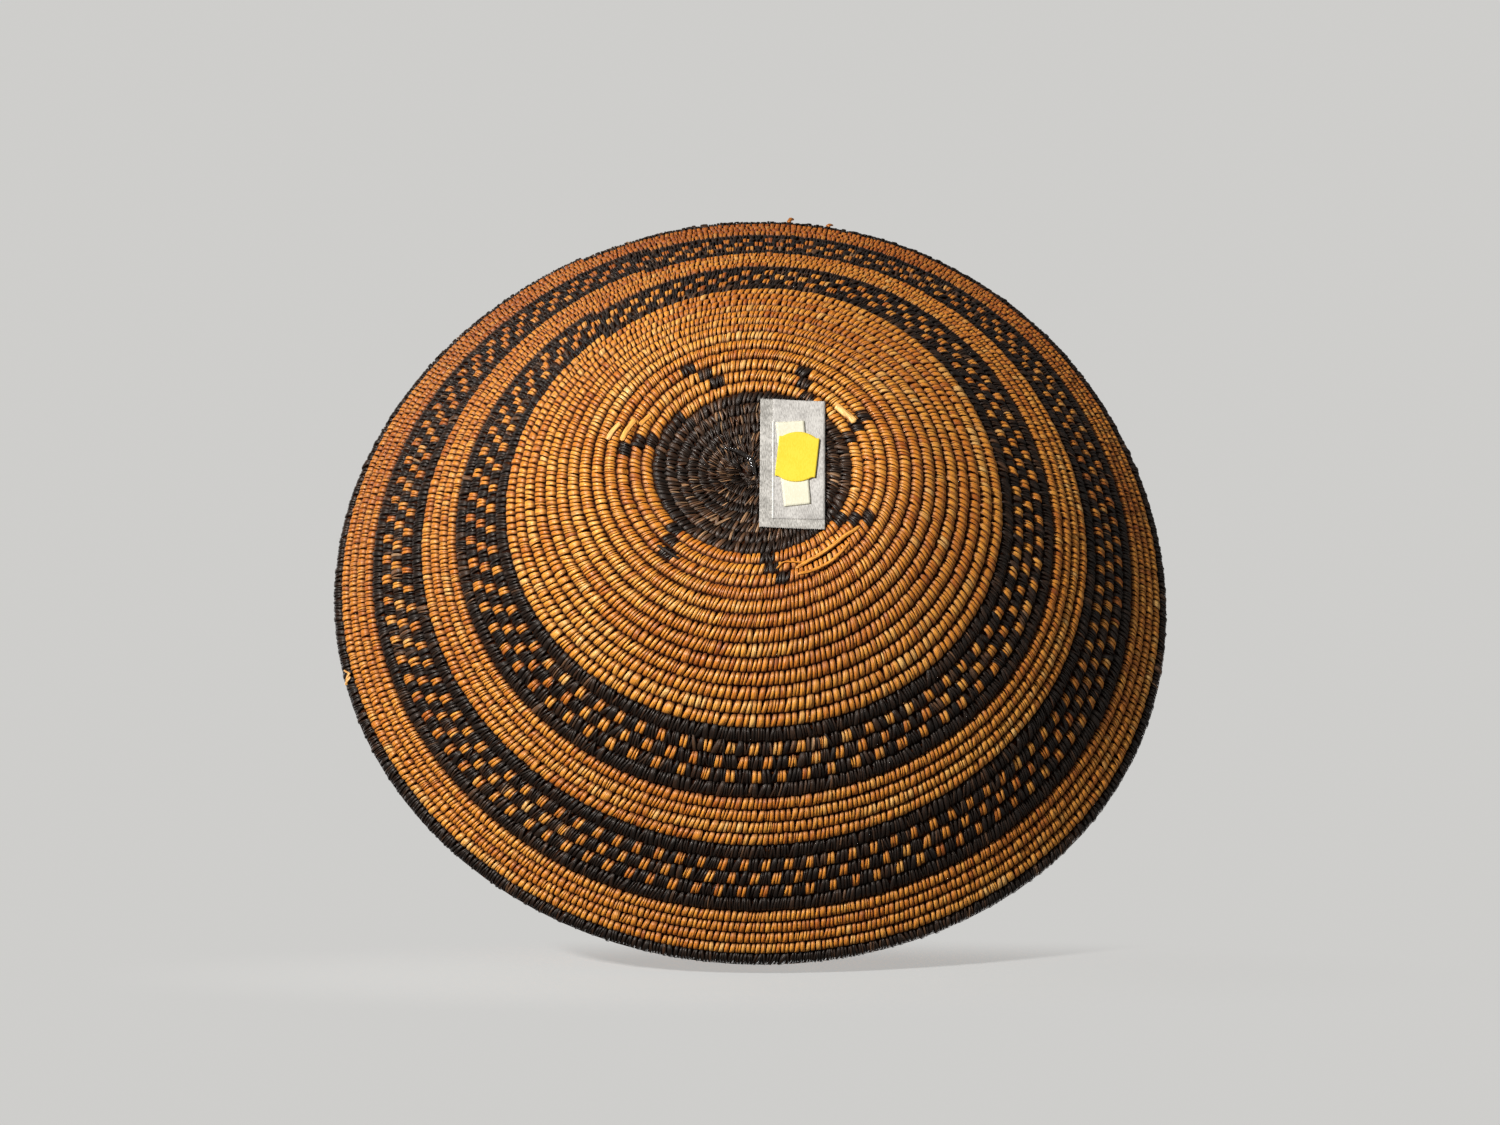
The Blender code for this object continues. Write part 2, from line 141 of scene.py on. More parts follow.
def wall_place(turn, lift, azimuth):
    """Points of the wall, as an array ending in x, y, z.

    Radius and height are the outline's at that turn, moved by lift along the wall's outward
    normal and by the spread along its slope. The oval adds e to the radius along x and takes it
    off along y, where e fades as exp(-radius / reach), the swell moves a ring of the wall
    towards -x, and the offset moves the first turns, fading as exp(-(radius / reach)^4).
    Nothing is lower than the table, so the turns that the bowl stands on are worn flat.
    """
    slope = np.radians(look_up(SLOPE_AT_TURN, turn))
    spread = spread_along(turn, azimuth)
    radius = np.interp(turn, TURNS, RADII) + lift * np.sin(slope) + spread * np.cos(slope)
    height = np.interp(turn, TURNS, HEIGHTS) - lift * np.cos(slope) + spread * np.sin(slope)
    oval = OVAL * np.exp(-radius / OVAL_REACH) * np.clip(radius / OVAL_FULL_RADIUS, 0, 1)
    swell = SWELL * np.exp(-((radius - SWELL_RADIUS) / SWELL_REACH) ** 2)
    offset = np.exp(-(radius / OFFSET_REACH) ** 4)
    x = (radius + oval) * np.cos(azimuth) - swell - MIDDLE[0] + OFFSET[0] * offset
    y = (radius - oval) * np.sin(azimuth) - MIDDLE[1] + OFFSET[1] * offset
    return np.stack([x, y, np.maximum(height - FLOOR_LEVEL, 0.0)], axis=-1)


def under_base(x, y):
    """Height at which the stitches' crowns under the base lie, at plan positions.

    It undoes the offset and the oval to find the turn, and takes the crown's lift off the
    outline's height there.
    """
    offset = np.exp(-(np.hypot(x, y) / OFFSET_REACH) ** 4)
    plan_x = x + MIDDLE[0] - OFFSET[0] * offset
    plan_y = y + MIDDLE[1] - OFFSET[1] * offset
    radius = np.hypot(plan_x, plan_y)
    oval = OVAL * np.exp(-radius / OVAL_REACH) * np.clip(radius / OVAL_FULL_RADIUS, 0, 1)
    turn = np.interp(radius - oval * np.cos(2 * np.arctan2(plan_y, plan_x)), RADII, TURNS)
    slope = np.radians(look_up(SLOPE_AT_TURN, turn))
    return np.interp(turn, TURNS, HEIGHTS) - CROWN_LIFT * np.cos(slope) - FLOOR_LEVEL


def groove_turn(degree):
    """Turn number of the groove at each degree; the last few degrees close in on the rim."""
    taper = np.clip((degree - (LAST_DEGREE + TURN - TAPER_DEGREES)) / TAPER_DEGREES, 0, 1)
    return degree / TURN - taper * (1 - RIM_END_WIDTH_SHARE)


# %% [markdown]
# ## Chance that repeats
#
# Stitches vary, but the render must come out the same each time. All chance comes from seeded
# tables, and slow drifts along the coil come from value noise: random heights at whole steps,
# joined by a cosine so that there are no corners.

# %% Seeded chance and slow drift
DRIFT_STEPS = 4096
chance = np.random.default_rng(41)
DRIFT_TABLE = chance.uniform(-1, 1, DRIFT_STEPS)


def drift(position, seed=0):
    """Smooth noise from -1 to 1: table values at whole positions, eased by half a cosine."""
    whole = np.floor(position).astype(int)
    ease = (1 - np.cos(np.pi * (position - whole))) / 2
    low = DRIFT_TABLE[(whole + seed) % DRIFT_STEPS]
    high = DRIFT_TABLE[(whole + seed + 1) % DRIFT_STEPS]
    return low * (1 - ease) + high * ease


# %% [markdown]
# ## Where each stitch begins and ends
#
# A position along the coil is a number of degrees wound from the knot. The plan of the pattern
# is a list of stretches with a colour each, and every stretch is cut into stitches about 2.3 mm
# wide. A stretch that carries spokes is cut at each spoke's edges first, and a checked stretch
# into blocks of two or three stitches, whose colour changes over from block to block and is
# shifted by one block in the next turn.

# %% Stretches of the pattern
STRETCHES = (
    ("base_coil", 9, 5, "dark"),
    ("field_coil", 22, 14, "straw"),
    ("lower_band_first_line", 23, 17, "dark"),
    ("lower_band_checks", 26, 15, "checked"),
    ("lower_band_second_line", 27, 18, "dark"),
    ("middle_coil", 31, 32, "straw"),
    ("upper_band_first_line", 32, 35, "dark"),
    ("upper_band_checks", 35, 33, "checked"),
    ("upper_band_second_line", 36, 36, "dark"),
    ("shoulder_coil", 40, 27, "straw"),
    ("rim_coil", 41, 2, "dark"),
    ("rim_end", 41, 27, "dark"),
)
BLOCKS_PER_TURN = {"lower_band_checks": 145, "upper_band_checks": 207}
STRAW_BLOCK_INSET = 0.12
BLOCK_EDGE_DRIFT = 0.10
SPOKE_FIRST_TURN = (10, 9, 9, 9, 9, 9, 9)
SPOKE_HALF_WIDTH = (3.9, 3.4, 3.1)
SPOKE_AZIMUTHS = (
    (72.8, 68.9, 63.1), (125.1, 119.5, 116.7), (162.1, 157.7, 154.7), (218.9, 214.7, 210.8),
    (266.9, 265.5, 261.1), (322.1, 318.3, 314.9), (20.9, 18.3, 13.2),
)


def spoke_blocks():
    """First and last degree of each spoke's three blocks, and the spoke's number."""
    blocks = []
    for number, azimuths in enumerate(SPOKE_AZIMUTHS, start=1):
        for row, azimuth in enumerate(azimuths):
            turn = SPOKE_FIRST_TURN[number - 1] + row
            middle = turn * TURN + (azimuth - START_AZIMUTH) % TURN
            half = SPOKE_HALF_WIDTH[row]
            blocks.append((middle - half, middle + half, f"spoke_{number}"))
    return sorted(blocks)


def colour_stretches():
    """Runs of one colour along the coil: first degree, last degree, node and colour."""
    runs = []
    begin = float(TURN)
    for node, turn, extra, colour in STRETCHES:
        end = float(turn * TURN + extra)
        if colour == "checked":
            size = TURN / BLOCKS_PER_TURN[node]
            edges = np.arange(begin, end, size)
            edges = np.append(edges[:-1], end)
            moved = edges + size * BLOCK_EDGE_DRIFT * drift(np.arange(len(edges)) * 1.7, turn)
            moved[1::2] += size * STRAW_BLOCK_INSET
            moved[2::2] -= size * STRAW_BLOCK_INSET
            moved[0], moved[-1] = begin, end
            for block, (first, last) in enumerate(zip(moved, moved[1:])):
                runs.append((first, last, node, ("dark", "straw")[block % 2]))
        elif node == "field_coil":
            for first, last, spoke in spoke_blocks():
                runs.append((begin, first, node, colour))
                runs.append((first, last, spoke, "dark"))
                begin = last
            runs.append((begin, end, node, colour))
        else:
            runs.append((begin, end, node, colour))
        begin = end
    return runs


RUNS = colour_stretches()
print("runs of one colour:", len(RUNS))

# %% Cut every run into stitches
STITCH_WIDTH_AT_TURN = np.array([
    (1.0, 0.0013), (4.0, 0.0016), (8.0, 0.0018), (9.5, 0.0020), (12.0, 0.0022),
    (15.0, 0.0024), (21.0, 0.0024), (28.0, 0.00215), (42.0, 0.00225)])
WIDTH_SPREAD = 0.20
DEGREES = np.arange(TURN, LAST_DEGREE + 1)
ROW_RADIUS = np.interp(DEGREES / TURN + 0.5, TURNS, RADII)
ARC = np.concatenate(([0], np.cumsum(ROW_RADIUS[:-1] * math.radians(1))))
SPLIT_SHARE = {"straw": 0.08, "dark": 0.60}
DISC_SPLIT_SHARE = 0.45
BLOCK_MOST_STITCHES = 4


def cut_run(first, last, count):
    """Degrees that cut a run into stitches, each as wide as the exponential of a normal chance."""
    widths = np.exp(chance.normal(0.0, WIDTH_SPREAD, count))
    cuts = first + (last - first) * np.concatenate(([0], np.cumsum(widths))) / widths.sum()
    cuts[-1] = last
    return cuts


def all_stitches():
    """Start, end, node, colour and place in its block, from -1 to 1, of every stitch.

    Some are two thin strands instead of one. A stitch of a long run counts as its middle, 0.
    """
    starts, ends, nodes, colours, shares = [], [], [], [], []
    for first, last, node, colour in RUNS:
        length = np.interp(last, DEGREES, ARC) - np.interp(first, DEGREES, ARC)
        width = look_up(STITCH_WIDTH_AT_TURN, first / TURN)
        fewest = 2 if colour == "straw" else 1
        count = max(fewest, int(round(length / width + chance.uniform(-0.25, 0.25))))
        cuts = cut_run(first, last, count)
        share = DISC_SPLIT_SHARE if node == "base_coil" else SPLIT_SHARE[colour]
        split = chance.random(count) < share
        halves = (cuts[:-1] + cuts[1:])[split] / 2
        cuts = np.sort(np.concatenate((cuts, halves)))
        starts.append(cuts[:-1])
        ends.append(cuts[1:])
        nodes += [node] * (len(cuts) - 1)
        colours += [colour] * (len(cuts) - 1)
        share = (cuts[:-1] + cuts[1:] - first - last) / (last - first)
        shares.append(share * (count <= BLOCK_MOST_STITCHES))
    starts, ends, shares = map(np.concatenate, (starts, ends, shares))
    return starts, ends, np.array(nodes), np.array(colours), shares


START, END, NODE, COLOUR, BLOCK_SHARE = all_stitches()
COUNT = len(START)
CENTRE = (START + END) / 2
ROW_TURN = (groove_turn(CENTRE) + groove_turn(CENTRE + TURN)) / 2
ROW_SHARE = groove_turn(CENTRE + TURN) - groove_turn(CENTRE)
RADIUS = np.interp(ROW_TURN, TURNS, RADII)
WIDTH = np.radians(END - START) * RADIUS
print(f"stitches: {COUNT}, mean width {WIDTH.mean() * 1000:.2f} mm")

# %% [markdown]
# ## The shape of one stitch
#
# A stitch is a strap that goes right round the rope. Cut across the rope, it follows a rounded
# oval; cut along the rope, it is a low bead, high in the middle and pressed down at its edges
# by its neighbours. So a stitch is a small grid: twelve stations round the oval, five points
# across the bead, and one strip that closes it underneath. Twelve times five quads is enough
# for a shape that is a few pixels wide, and smooth shading does the rest.
#
# The strap narrows where it dives into the turn before it, and bulges just outside that place.
# That small wedge is what makes coiled work look like rows of corn. In the wild stitches of the
# first turns and the black bands both are stronger. So each station has its own share of the
# strap's width, its reach back, its bulge, and how deep it lies between two turns.

# %% Stations round the rope and points across the bead
STATION = np.radians([180, 152, 124, 96, 66, 34, 0, -34, -66, -96, -124, -152])
NARROWING = np.array([0.66, 0.84, 0.97, 1.02, 1.00, 0.99, 0.92, 0.97, 1.00, 1.02, 1.00, 0.95])
REACH_BACK = np.array([0.30, 0.38, 0.25, 0.10, 0, 0, 0, 0, 0, 0.05, 0.20, 0.30]) * MILLIMETRE
BULGE = np.array([
    -0.20, 0.36, 0.50, 0.32, 0.04, -0.30, -0.45, -0.14, 0.04, 0.14, 0.24, 0.15]) * MILLIMETRE
# RUN_DEPTH sets the painted shade at each station: most where the strap dives between turns.
RUN_DEPTH = np.array([0.95, 0.62, 0.16, 0.00, 0.22, 0.78, 1.00, 0.62, 0.10, 0.00, 0.20, 0.60])
ACROSS = np.array([-1.0, -0.80, 0.0, 0.80, 1.0])
BEAD_SHARE = np.array([-1.70, 0.70, 1.0, 0.70, -1.70])
BEAD_HEIGHT = 0.00034
STRAP_SHARE = 0.88
ROPE_OVERLAP = 1.12
CREST = 0.00012
OVERLAP = 0.985
WILD_NARROWING = np.array([0.50, 0.55, 0.85, 1.00, 1.00, 0.85, 0.60, 0.85, 1.00, 1.00, 0.85, 0.55])
WILD_BULGE = np.array([0.00, 0.95, 0.45, 0.10, 0, 0, 0, 0, 0, 0.10, 0.40, 0.70]) * MILLIMETRE
BLOCK_ROUNDING = 0.14
BLOCK_DROP = 0.00015
ROUNDNESS_AT_TURN = np.array([(6.0, 0.45), (9.0, 0.70), (10.5, 0.82)])
SLANT_AT_TURN = np.array([
    (2.0, 0.25), (10.0, 0.28), (20.0, 0.25), (25.0, 0.20), (30.0, 0.18), (41.0, 0.10)])
LABEL_LEANS = (0.067, 0.132)
LABEL_SIDES = (-0.0303, -0.0030)
LABEL_ENDS = (-0.0242, 0.0358)


def rope_section(angle, turn, half_pitch, half_depth, overlap=OVERLAP):
    """Across and lift of the rope's oval, and its outward normal.

    Across is the half pitch times the cosine, lift is the half depth times the sine to the
    power of the roundness, which flattens the first turns, and the middle of the oval is half a
    thickness inside the crest. The normal is the ellipse's: cosine over half pitch and sine
    over half depth, made one unit long.
    """
    cosine, sine = np.cos(angle), np.sin(angle)
    across = half_pitch * overlap * cosine
    rise = np.sign(sine) * np.abs(sine) ** look_up(ROUNDNESS_AT_TURN, turn)
    lift = CREST - half_depth + half_depth * rise
    normal = np.stack([cosine / half_pitch, sine / half_depth])
    return across, lift, normal / np.hypot(*normal)


def under_label(x, y):
    """Whether the labels cover a plan position; their sides and ends lean by a share each."""
    across, up = x + LABEL_LEANS[0] * y, y - LABEL_LEANS[1] * x
    beside = (across > LABEL_SIDES[0]) & (across < LABEL_SIDES[1])
    return beside & (up > LABEL_ENDS[0]) & (up < LABEL_ENDS[1])


def stitch_grid(pick):
    """Points of the picked stitches, as stitch x station x point across x (x, y, z).

    Each station of the oval is moved out along its normal by the bead, the bulge and the
    stitch's own faults, pulled back into the turn before it by its reach, and leaned by its
    lean. Under the labels no point is below them, and elsewhere none is below the table.
    """
    turn = ROW_TURN[pick, None, None]
    pitch = look_up(PITCH_AT_TURN, turn)
    half_pitch = pitch * ROW_SHARE[pick, None, None] / 2
    half_depth = look_up(THICKNESS_AT_TURN, turn) * (1 + ROW_SHARE[pick, None, None]) / 4
    across, lift, normal = rope_section(STATION[None, :, None], turn, half_pitch, half_depth)
    bead = BEAD_HEIGHT * CROWN[pick, None, None] * BEAD_SHARE
    rise = bead + BULGE[None, :, None] * PUSH[pick, None, None] + SIT[pick, None, None]
    rise = rise + WILD_BULGE[None, :, None] * WILD_PUSH[pick, None, None]
    corner = BLOCK_SHARE[pick, None, None] ** 2
    rise = rise - BLOCK_DROP * corner
    across = across * (1 - BLOCK_ROUNDING * corner)
    across = across - REACH_BACK[None, :, None] * REACH[pick, None, None]
    across = across + normal[0] * rise + WANDER[pick, None, None]
    lift = lift + normal[1] * rise
    wild = WILDNESS[pick, None, None]
    narrowing = NARROWING[None, :, None] * (1 - wild + wild * WILD_NARROWING[None, :, None])
    along = ACROSS * narrowing * WIDTH[pick, None, None] * STRAP_SHARE / 2
    along = along + LEAN[pick, None, None] * across
    azimuth = np.radians(START_AZIMUTH + CENTRE[pick, None, None]) + along / RADIUS[pick, None, None]
    points = wall_place(turn + across / pitch, lift, azimuth)
    x, y, z = points[..., 0], points[..., 1], points[..., 2]
    lowest = np.where(under_label(x, y), under_base(x, y), 0.0)
    return np.stack([x, y, np.maximum(z, lowest)], axis=-1)


# %% [markdown]
# Every stitch gets its own small faults, all drawn at once as arrays: how high its bead is, how
# far it is pushed back into the turn before it, how it sits, and how it leans. All lean the
# same way, because one hand pulled them. Wildness, which is high in the first turns and lower
# in the black bands, makes most of these faults larger. The tone runs from 0, dark, to 1, pale,
# and follows the strand: a strand lasts some twenty stitches, and then a new one of another
# shade takes over.

# %% Small differences from stitch to stitch
WILDNESS_AT_TURN = np.array([(4.0, 1.0), (6.0, 0.75), (8.7, 0.60), (9.6, 0.15), (13.0, 0.0)])
DARK_WILDNESS = 0.42
BAND_BLACKNESS = 0.14
FULL_WIDTH = 0.0021
SIT_CHANCE, SIT_DRIFT = 0.00009, 0.00005
WANDER_CHANCE, WANDER_DRIFT = 0.00004, 0.00010
LEAN_CHANCE, LEAN_DRIFT = 0.07, 0.06
STRAND_STITCHES = 21
STRAND_CHANCE, STITCH_CHANCE = 0.20, 0.15
BASE_TURNS = 9.5
ORDER = np.arange(COUNT)
DARK = np.where(COLOUR == "dark", 1.0, 0.0)
WILDNESS = np.maximum(look_up(WILDNESS_AT_TURN, ROW_TURN), DARK_WILDNESS * DARK)
WILD_PUSH = WILDNESS * np.clip(chance.normal(1.0, 0.35, COUNT), 0.2, 1.8)
CROWN = np.clip(chance.normal(1.0, 0.16, COUNT), 0.6, 1.4) * np.clip(WIDTH / FULL_WIDTH, 0.5, 1.1)
PUSH = np.clip(chance.normal(1.0, 0.25, COUNT), 0.4, 1.6) * (1 - 0.75 * WILDNESS)
REACH = np.clip(chance.normal(1.0, 0.25, COUNT), 0.4, 1.6) * (1 + 2.4 * WILDNESS)
SIT = chance.normal(0.0, SIT_CHANCE, COUNT) * (1 + 1.6 * WILDNESS)
SIT += SIT_DRIFT * drift(ORDER / 9.0, 7)
LEAN = look_up(SLANT_AT_TURN, ROW_TURN)
LEAN += chance.normal(0.0, LEAN_CHANCE, COUNT) * (1 + 2.5 * WILDNESS)
LEAN += LEAN_DRIFT * drift(ORDER / 14.0, 99) * (1 + 4.0 * WILDNESS)
WANDER = WANDER_DRIFT * drift(ORDER / 11.0, 501) + chance.normal(0.0, WANDER_CHANCE, COUNT)
STRAND = np.floor((ORDER + 7 * drift(ORDER / 31.0, 40)) / STRAND_STITCHES).astype(int)
STRAND_TONE = DRIFT_TABLE[(STRAND * 7 + 11) % DRIFT_STEPS]
TONE = 0.5 + STRAND_CHANCE * STRAND_TONE + chance.normal(0.0, STITCH_CHANCE, COUNT)
TONE -= BAND_BLACKNESS * DARK * (ROW_TURN > BASE_TURNS)
TONE += 0.10 * drift(ORDER / 160.0, 900) + 0.10 * WILDNESS
TONE += chance.normal(0.0, 0.14, COUNT) * WILDNESS
TONE = np.clip(TONE, 0.0, 1.0)
print(f"tone from {TONE.min():.2f} to {TONE.max():.2f}, mean {TONE.mean():.2f}")

# %% [markdown]
# ## From grids to pieces
#
# Each node of the imported model is replaced by the stitches that it stands for. A piece holds
# one colour only, so that it has one material, and the long stretches are shared out over two
# pieces. The mesh gets three marks for the shader: the stitch's tone, how deep a point lies
# beside its bead, which sets its painted shade, and a map measured in millimetres along and
# across the strap, for its grain.

# %% One mesh from many stitches
PIECES = []
GRAIN_ASIDE = 7.3
GRAIN_ROUND = 1.1


def quads_round(stitches, stations, points):
    """Quads that join a stack of closed grids: next station and next point, both wrapping."""
    station, point = np.meshgrid(np.arange(stations), np.arange(points), indexing="ij")
    next_station = (station + 1) % stations
    next_point = (point + 1) % points
    corners = np.stack([
        station * points + point, station * points + next_point,
        next_station * points + next_point, next_station * points + point,
    ], axis=-1).reshape(-1, 4)
    return (np.arange(stitches)[:, None, None] * stations * points + corners).reshape(-1, 4)


def make_mesh(name, points, quads, grain=None, marks=None):
    """Object of one smooth mesh, from arrays of points and quads, with its map and its marks."""
    mesh = bpy.data.meshes.new(name)
    mesh.vertices.add(len(points))
    mesh.vertices.foreach_set("co", points.astype(np.float32).ravel())
    mesh.loops.add(quads.size)
    mesh.loops.foreach_set("vertex_index", quads.astype(np.int32).ravel())
    mesh.polygons.add(len(quads))
    mesh.polygons.foreach_set("loop_start", np.arange(0, quads.size, quads.shape[1], dtype=np.int32))
    mesh.update(calc_edges=True)
    if grain is not None:
        layer = mesh.uv_layers.new(name="grain")
        layer.data.foreach_set("uv", grain[quads.ravel()].astype(np.float32).ravel())
    for mark, values in (marks or {}).items():
        layer = mesh.attributes.new(mark, "FLOAT", "POINT")
        layer.data.foreach_set("value", values.astype(np.float32))
    mesh.shade_smooth()
    thing = bpy.data.objects.new(name, mesh)
    bpy.context.scene.collection.objects.link(thing)
    return thing


def stitch_piece(name, pick):
    """Piece made of the picked stitches, with their tone, depth and grain.

    Depth is the larger of two shares: how far down its bead a point lies, and how far down
    the rope its station is. The grain starts elsewhere for each stitch, by its number and by
    chance.
    """
    grid = stitch_grid(pick)
    count, stations, points, _ = grid.shape
    quads = quads_round(count, stations, points)
    # Depth is the share of painted shade that the finishes lay on each point.
    depth = np.maximum((1 - BEAD_SHARE) / (1 - BEAD_SHARE[0]), RUN_DEPTH[:, None])
    depth = np.broadcast_to(depth, (count, stations, points)).ravel()
    tone = np.repeat(TONE[pick], stations * points)
    side = np.broadcast_to(ACROSS / 2, (count, stations, points)) * WIDTH[pick, None, None] * 1000
    side = side + GRAIN_ASIDE * ORDER[pick, None, None]
    run = np.broadcast_to(np.arange(stations)[:, None], (count, stations, points)) * GRAIN_ROUND
    run = run + chance.uniform(0, 50, (count, 1, 1))
    grain = np.stack([side.ravel(), run.ravel()], axis=-1)
    thing = make_mesh(name, grid.reshape(-1, 3), quads, grain, {"tone": tone, "depth": depth})
    print(f"{name}: {count} stitches, {len(quads) * 2} triangles")
    return thing


# %% Stitch pieces for every node
SHARED_OUT = {"field_coil": 16.6, "middle_coil": 29.5, "shoulder_coil": 38.5}
SPOKE_NODES = [f"spoke_{number}" for number in range(1, 8)]
STITCH_NODES = [stretch[0] for stretch in STRETCHES] + SPOKE_NODES

for node in STITCH_NODES:
    for colour in ("straw", "dark"):
        chosen = (NODE == node) & (COLOUR == colour)
        if not chosen.any():
            continue
        parts = {"": chosen}
        if node in SHARED_OUT:
            parts = {"_low": chosen & (ROW_TURN < SHARED_OUT[node]),
                     "_high": chosen & (ROW_TURN >= SHARED_OUT[node])}
        elif node.endswith("checks"):
            parts = {"_" + colour: chosen}
        for ending, pick in parts.items():
            piece = stitch_piece(f"{node}_stitches{ending}", np.flatnonzero(pick))
            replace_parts(piece, node)
            PIECES.append((piece, colour))

# %% [markdown]
# ## The rope of grass
#
# Between the stitches a sliver of the rope shows, and its colour is painted shade, nearly black,
# because little light gets in there. It is one tube along the whole spiral, lower than the
# stitches, and wide enough to meet the turns beside it, so that no light comes through the wall.
# A tube along a path is again a grid: stations along the coil, and points round the same oval.

# %% Grass rope inside the stitches
ROPE_INSET = 0.000352
ROPE_STEP = 4
ROPE_TIP_SHARE = 0.05
ROPE_GRAIN = (1.4, 2.0)


def rope_mesh():
    """Tube along the coil: at each station the stitches' oval, widened, and lower by the inset.

    At both ends the last station shrinks to a small ring, and three quads close it. The grain
    runs by points round the ring and by degrees along the coil.
    """
    degree = np.arange(TURN, LAST_DEGREE + 1, ROPE_STEP, dtype=float)
    inner, outer = groove_turn(degree), groove_turn(degree + TURN)
    turn = ((inner + outer) / 2)[:, None]
    share = (outer - inner)[:, None]
    angle = np.radians(np.arange(0, TURN, 45))[None, :]
    pitch = look_up(PITCH_AT_TURN, turn)
    half_depth = look_up(THICKNESS_AT_TURN, turn) * (1 + share) / 4
    across, lift, normal = rope_section(angle, turn, pitch * share / 2, half_depth, ROPE_OVERLAP)
    lift = lift - normal[1] * ROPE_INSET
    middle = CREST - half_depth
    end = np.ones(len(degree))
    end[[0, -1]] = ROPE_TIP_SHARE
    across = across * end[:, None]
    lift = middle + (lift - middle) * end[:, None]
    azimuth = np.radians(START_AZIMUTH + degree)[:, None] + 0 * across
    points = wall_place(turn + across / pitch, lift, azimuth)
    stations, ring = points.shape[:2]
    quads = quads_round(1, stations, ring)
    along = quads.reshape(stations, ring, 4)[:-1].reshape(-1, 4)
    first = np.array([(0, 7, 6, 5), (0, 5, 4, 3), (0, 3, 2, 1)])
    last = first[:, ::-1] + (stations - 1) * ring
    quads = np.concatenate((along, first, last))
    side = np.broadcast_to(np.arange(ring) * ROPE_GRAIN[0], (stations, ring)).ravel()
    run = np.broadcast_to((degree * ROPE_GRAIN[1])[:, None], (stations, ring)).ravel()
    return make_mesh("grass_rope", points.reshape(-1, 3), quads, np.stack([side, run], axis=-1))


rope = rope_mesh()
PIECES.append((rope, "grass"))
print("rope triangles:", len(rope.data.polygons) * 2)

# %% [markdown]
# ## The knot, and straps that came loose
#
# Some pieces are single straps that follow a path of their own: the curl that the spiral starts
# with, the short ends around it, and straps that stand off the wall where a stitch broke. Each
# is an oval swept along a path. The path is given by a few points, and averaging every point
# with its neighbours a few times turns the corners into bends.

# %% Straps along a path
def eased_line(points, count):
    """Even steps along a polyline, each averaged several times with its two neighbours."""
    points = np.array(points, dtype=float)
    where = np.linspace(0, len(points) - 1, count)
    line = np.stack([np.interp(where, np.arange(len(points)), column) for column in points.T], axis=1)
    for _ in range(count // len(points)):
        line[1:-1] = (line[:-2] + 2 * line[1:-1] + line[2:]) / 4
    return line


def strap(path, above, wide, thick, tip=0.05):
    """Rings of eight points along a path, an oval wide by thick whose flat side faces above.

    Its width runs along the cross product of the way to above and the path's direction, and
    the oval shrinks over the tip at both ends, as the square root of the distance.
    """
    along = np.gradient(path, axis=0)
    side = np.cross(above - path, along)
    side = side / np.linalg.norm(side, axis=1, keepdims=True)
    outward = np.cross(along, side)
    outward = outward / np.linalg.norm(outward, axis=1, keepdims=True)
    share = np.linspace(0, 1, len(path))
    size = np.clip(np.minimum(share, 1 - share) / tip, 0.02, 1)[:, None, None] ** 0.5
    angle = np.radians(np.arange(0, TURN, 45))[None, :, None]
    across = side[:, None] * np.cos(angle) * wide + outward[:, None] * np.sin(angle) * thick
    return path[:, None] + across * size / 2


def strap_piece(name, straps, tones, finish):
    """One mesh from several straps, with the marks that its finish reads."""
    points, quads, grains, marks, count = [], [], [], [], 0
    for rings, tone in zip(straps, tones):
        stations, ring = rings.shape[:2]
        faces = quads_round(1, stations, ring).reshape(stations, ring, 4)[:-1].reshape(-1, 4)
        far = ring - 1 - 2 * np.arange(ring // 2 - 1)
        caps = np.stack([0 * far, far, far - 1, far - 2], axis=-1)
        faces = np.concatenate((faces, caps, caps[:, ::-1] + (stations - 1) * ring))
        quads.append(faces + count)
        points.append(rings.reshape(-1, 3))
        step = np.linalg.norm(np.diff(rings[:, 0], axis=0), axis=1).sum() * 1000 / stations
        run = np.broadcast_to(np.arange(stations)[:, None] * step, (stations, ring))
        side = np.broadcast_to(np.cos(np.linspace(0, 2 * np.pi, ring)), (stations, ring))
        grains.append(np.stack([side.ravel() + 9.1 * len(points), run.ravel()], axis=-1))
        marks.append(np.full(stations * ring, tone))
        count += stations * ring
    tone = np.concatenate(marks)
    # A depth mark of 0.1 lays a little painted shade over every strap.
    thing = make_mesh(name, np.concatenate(points), np.concatenate(quads), np.concatenate(grains),
                      {"tone": tone, "depth": 0.1 + 0 * tone})
    PIECES.append((thing, finish))
    print(f"{name}: {len(straps)} straps, {count} points")
    return thing


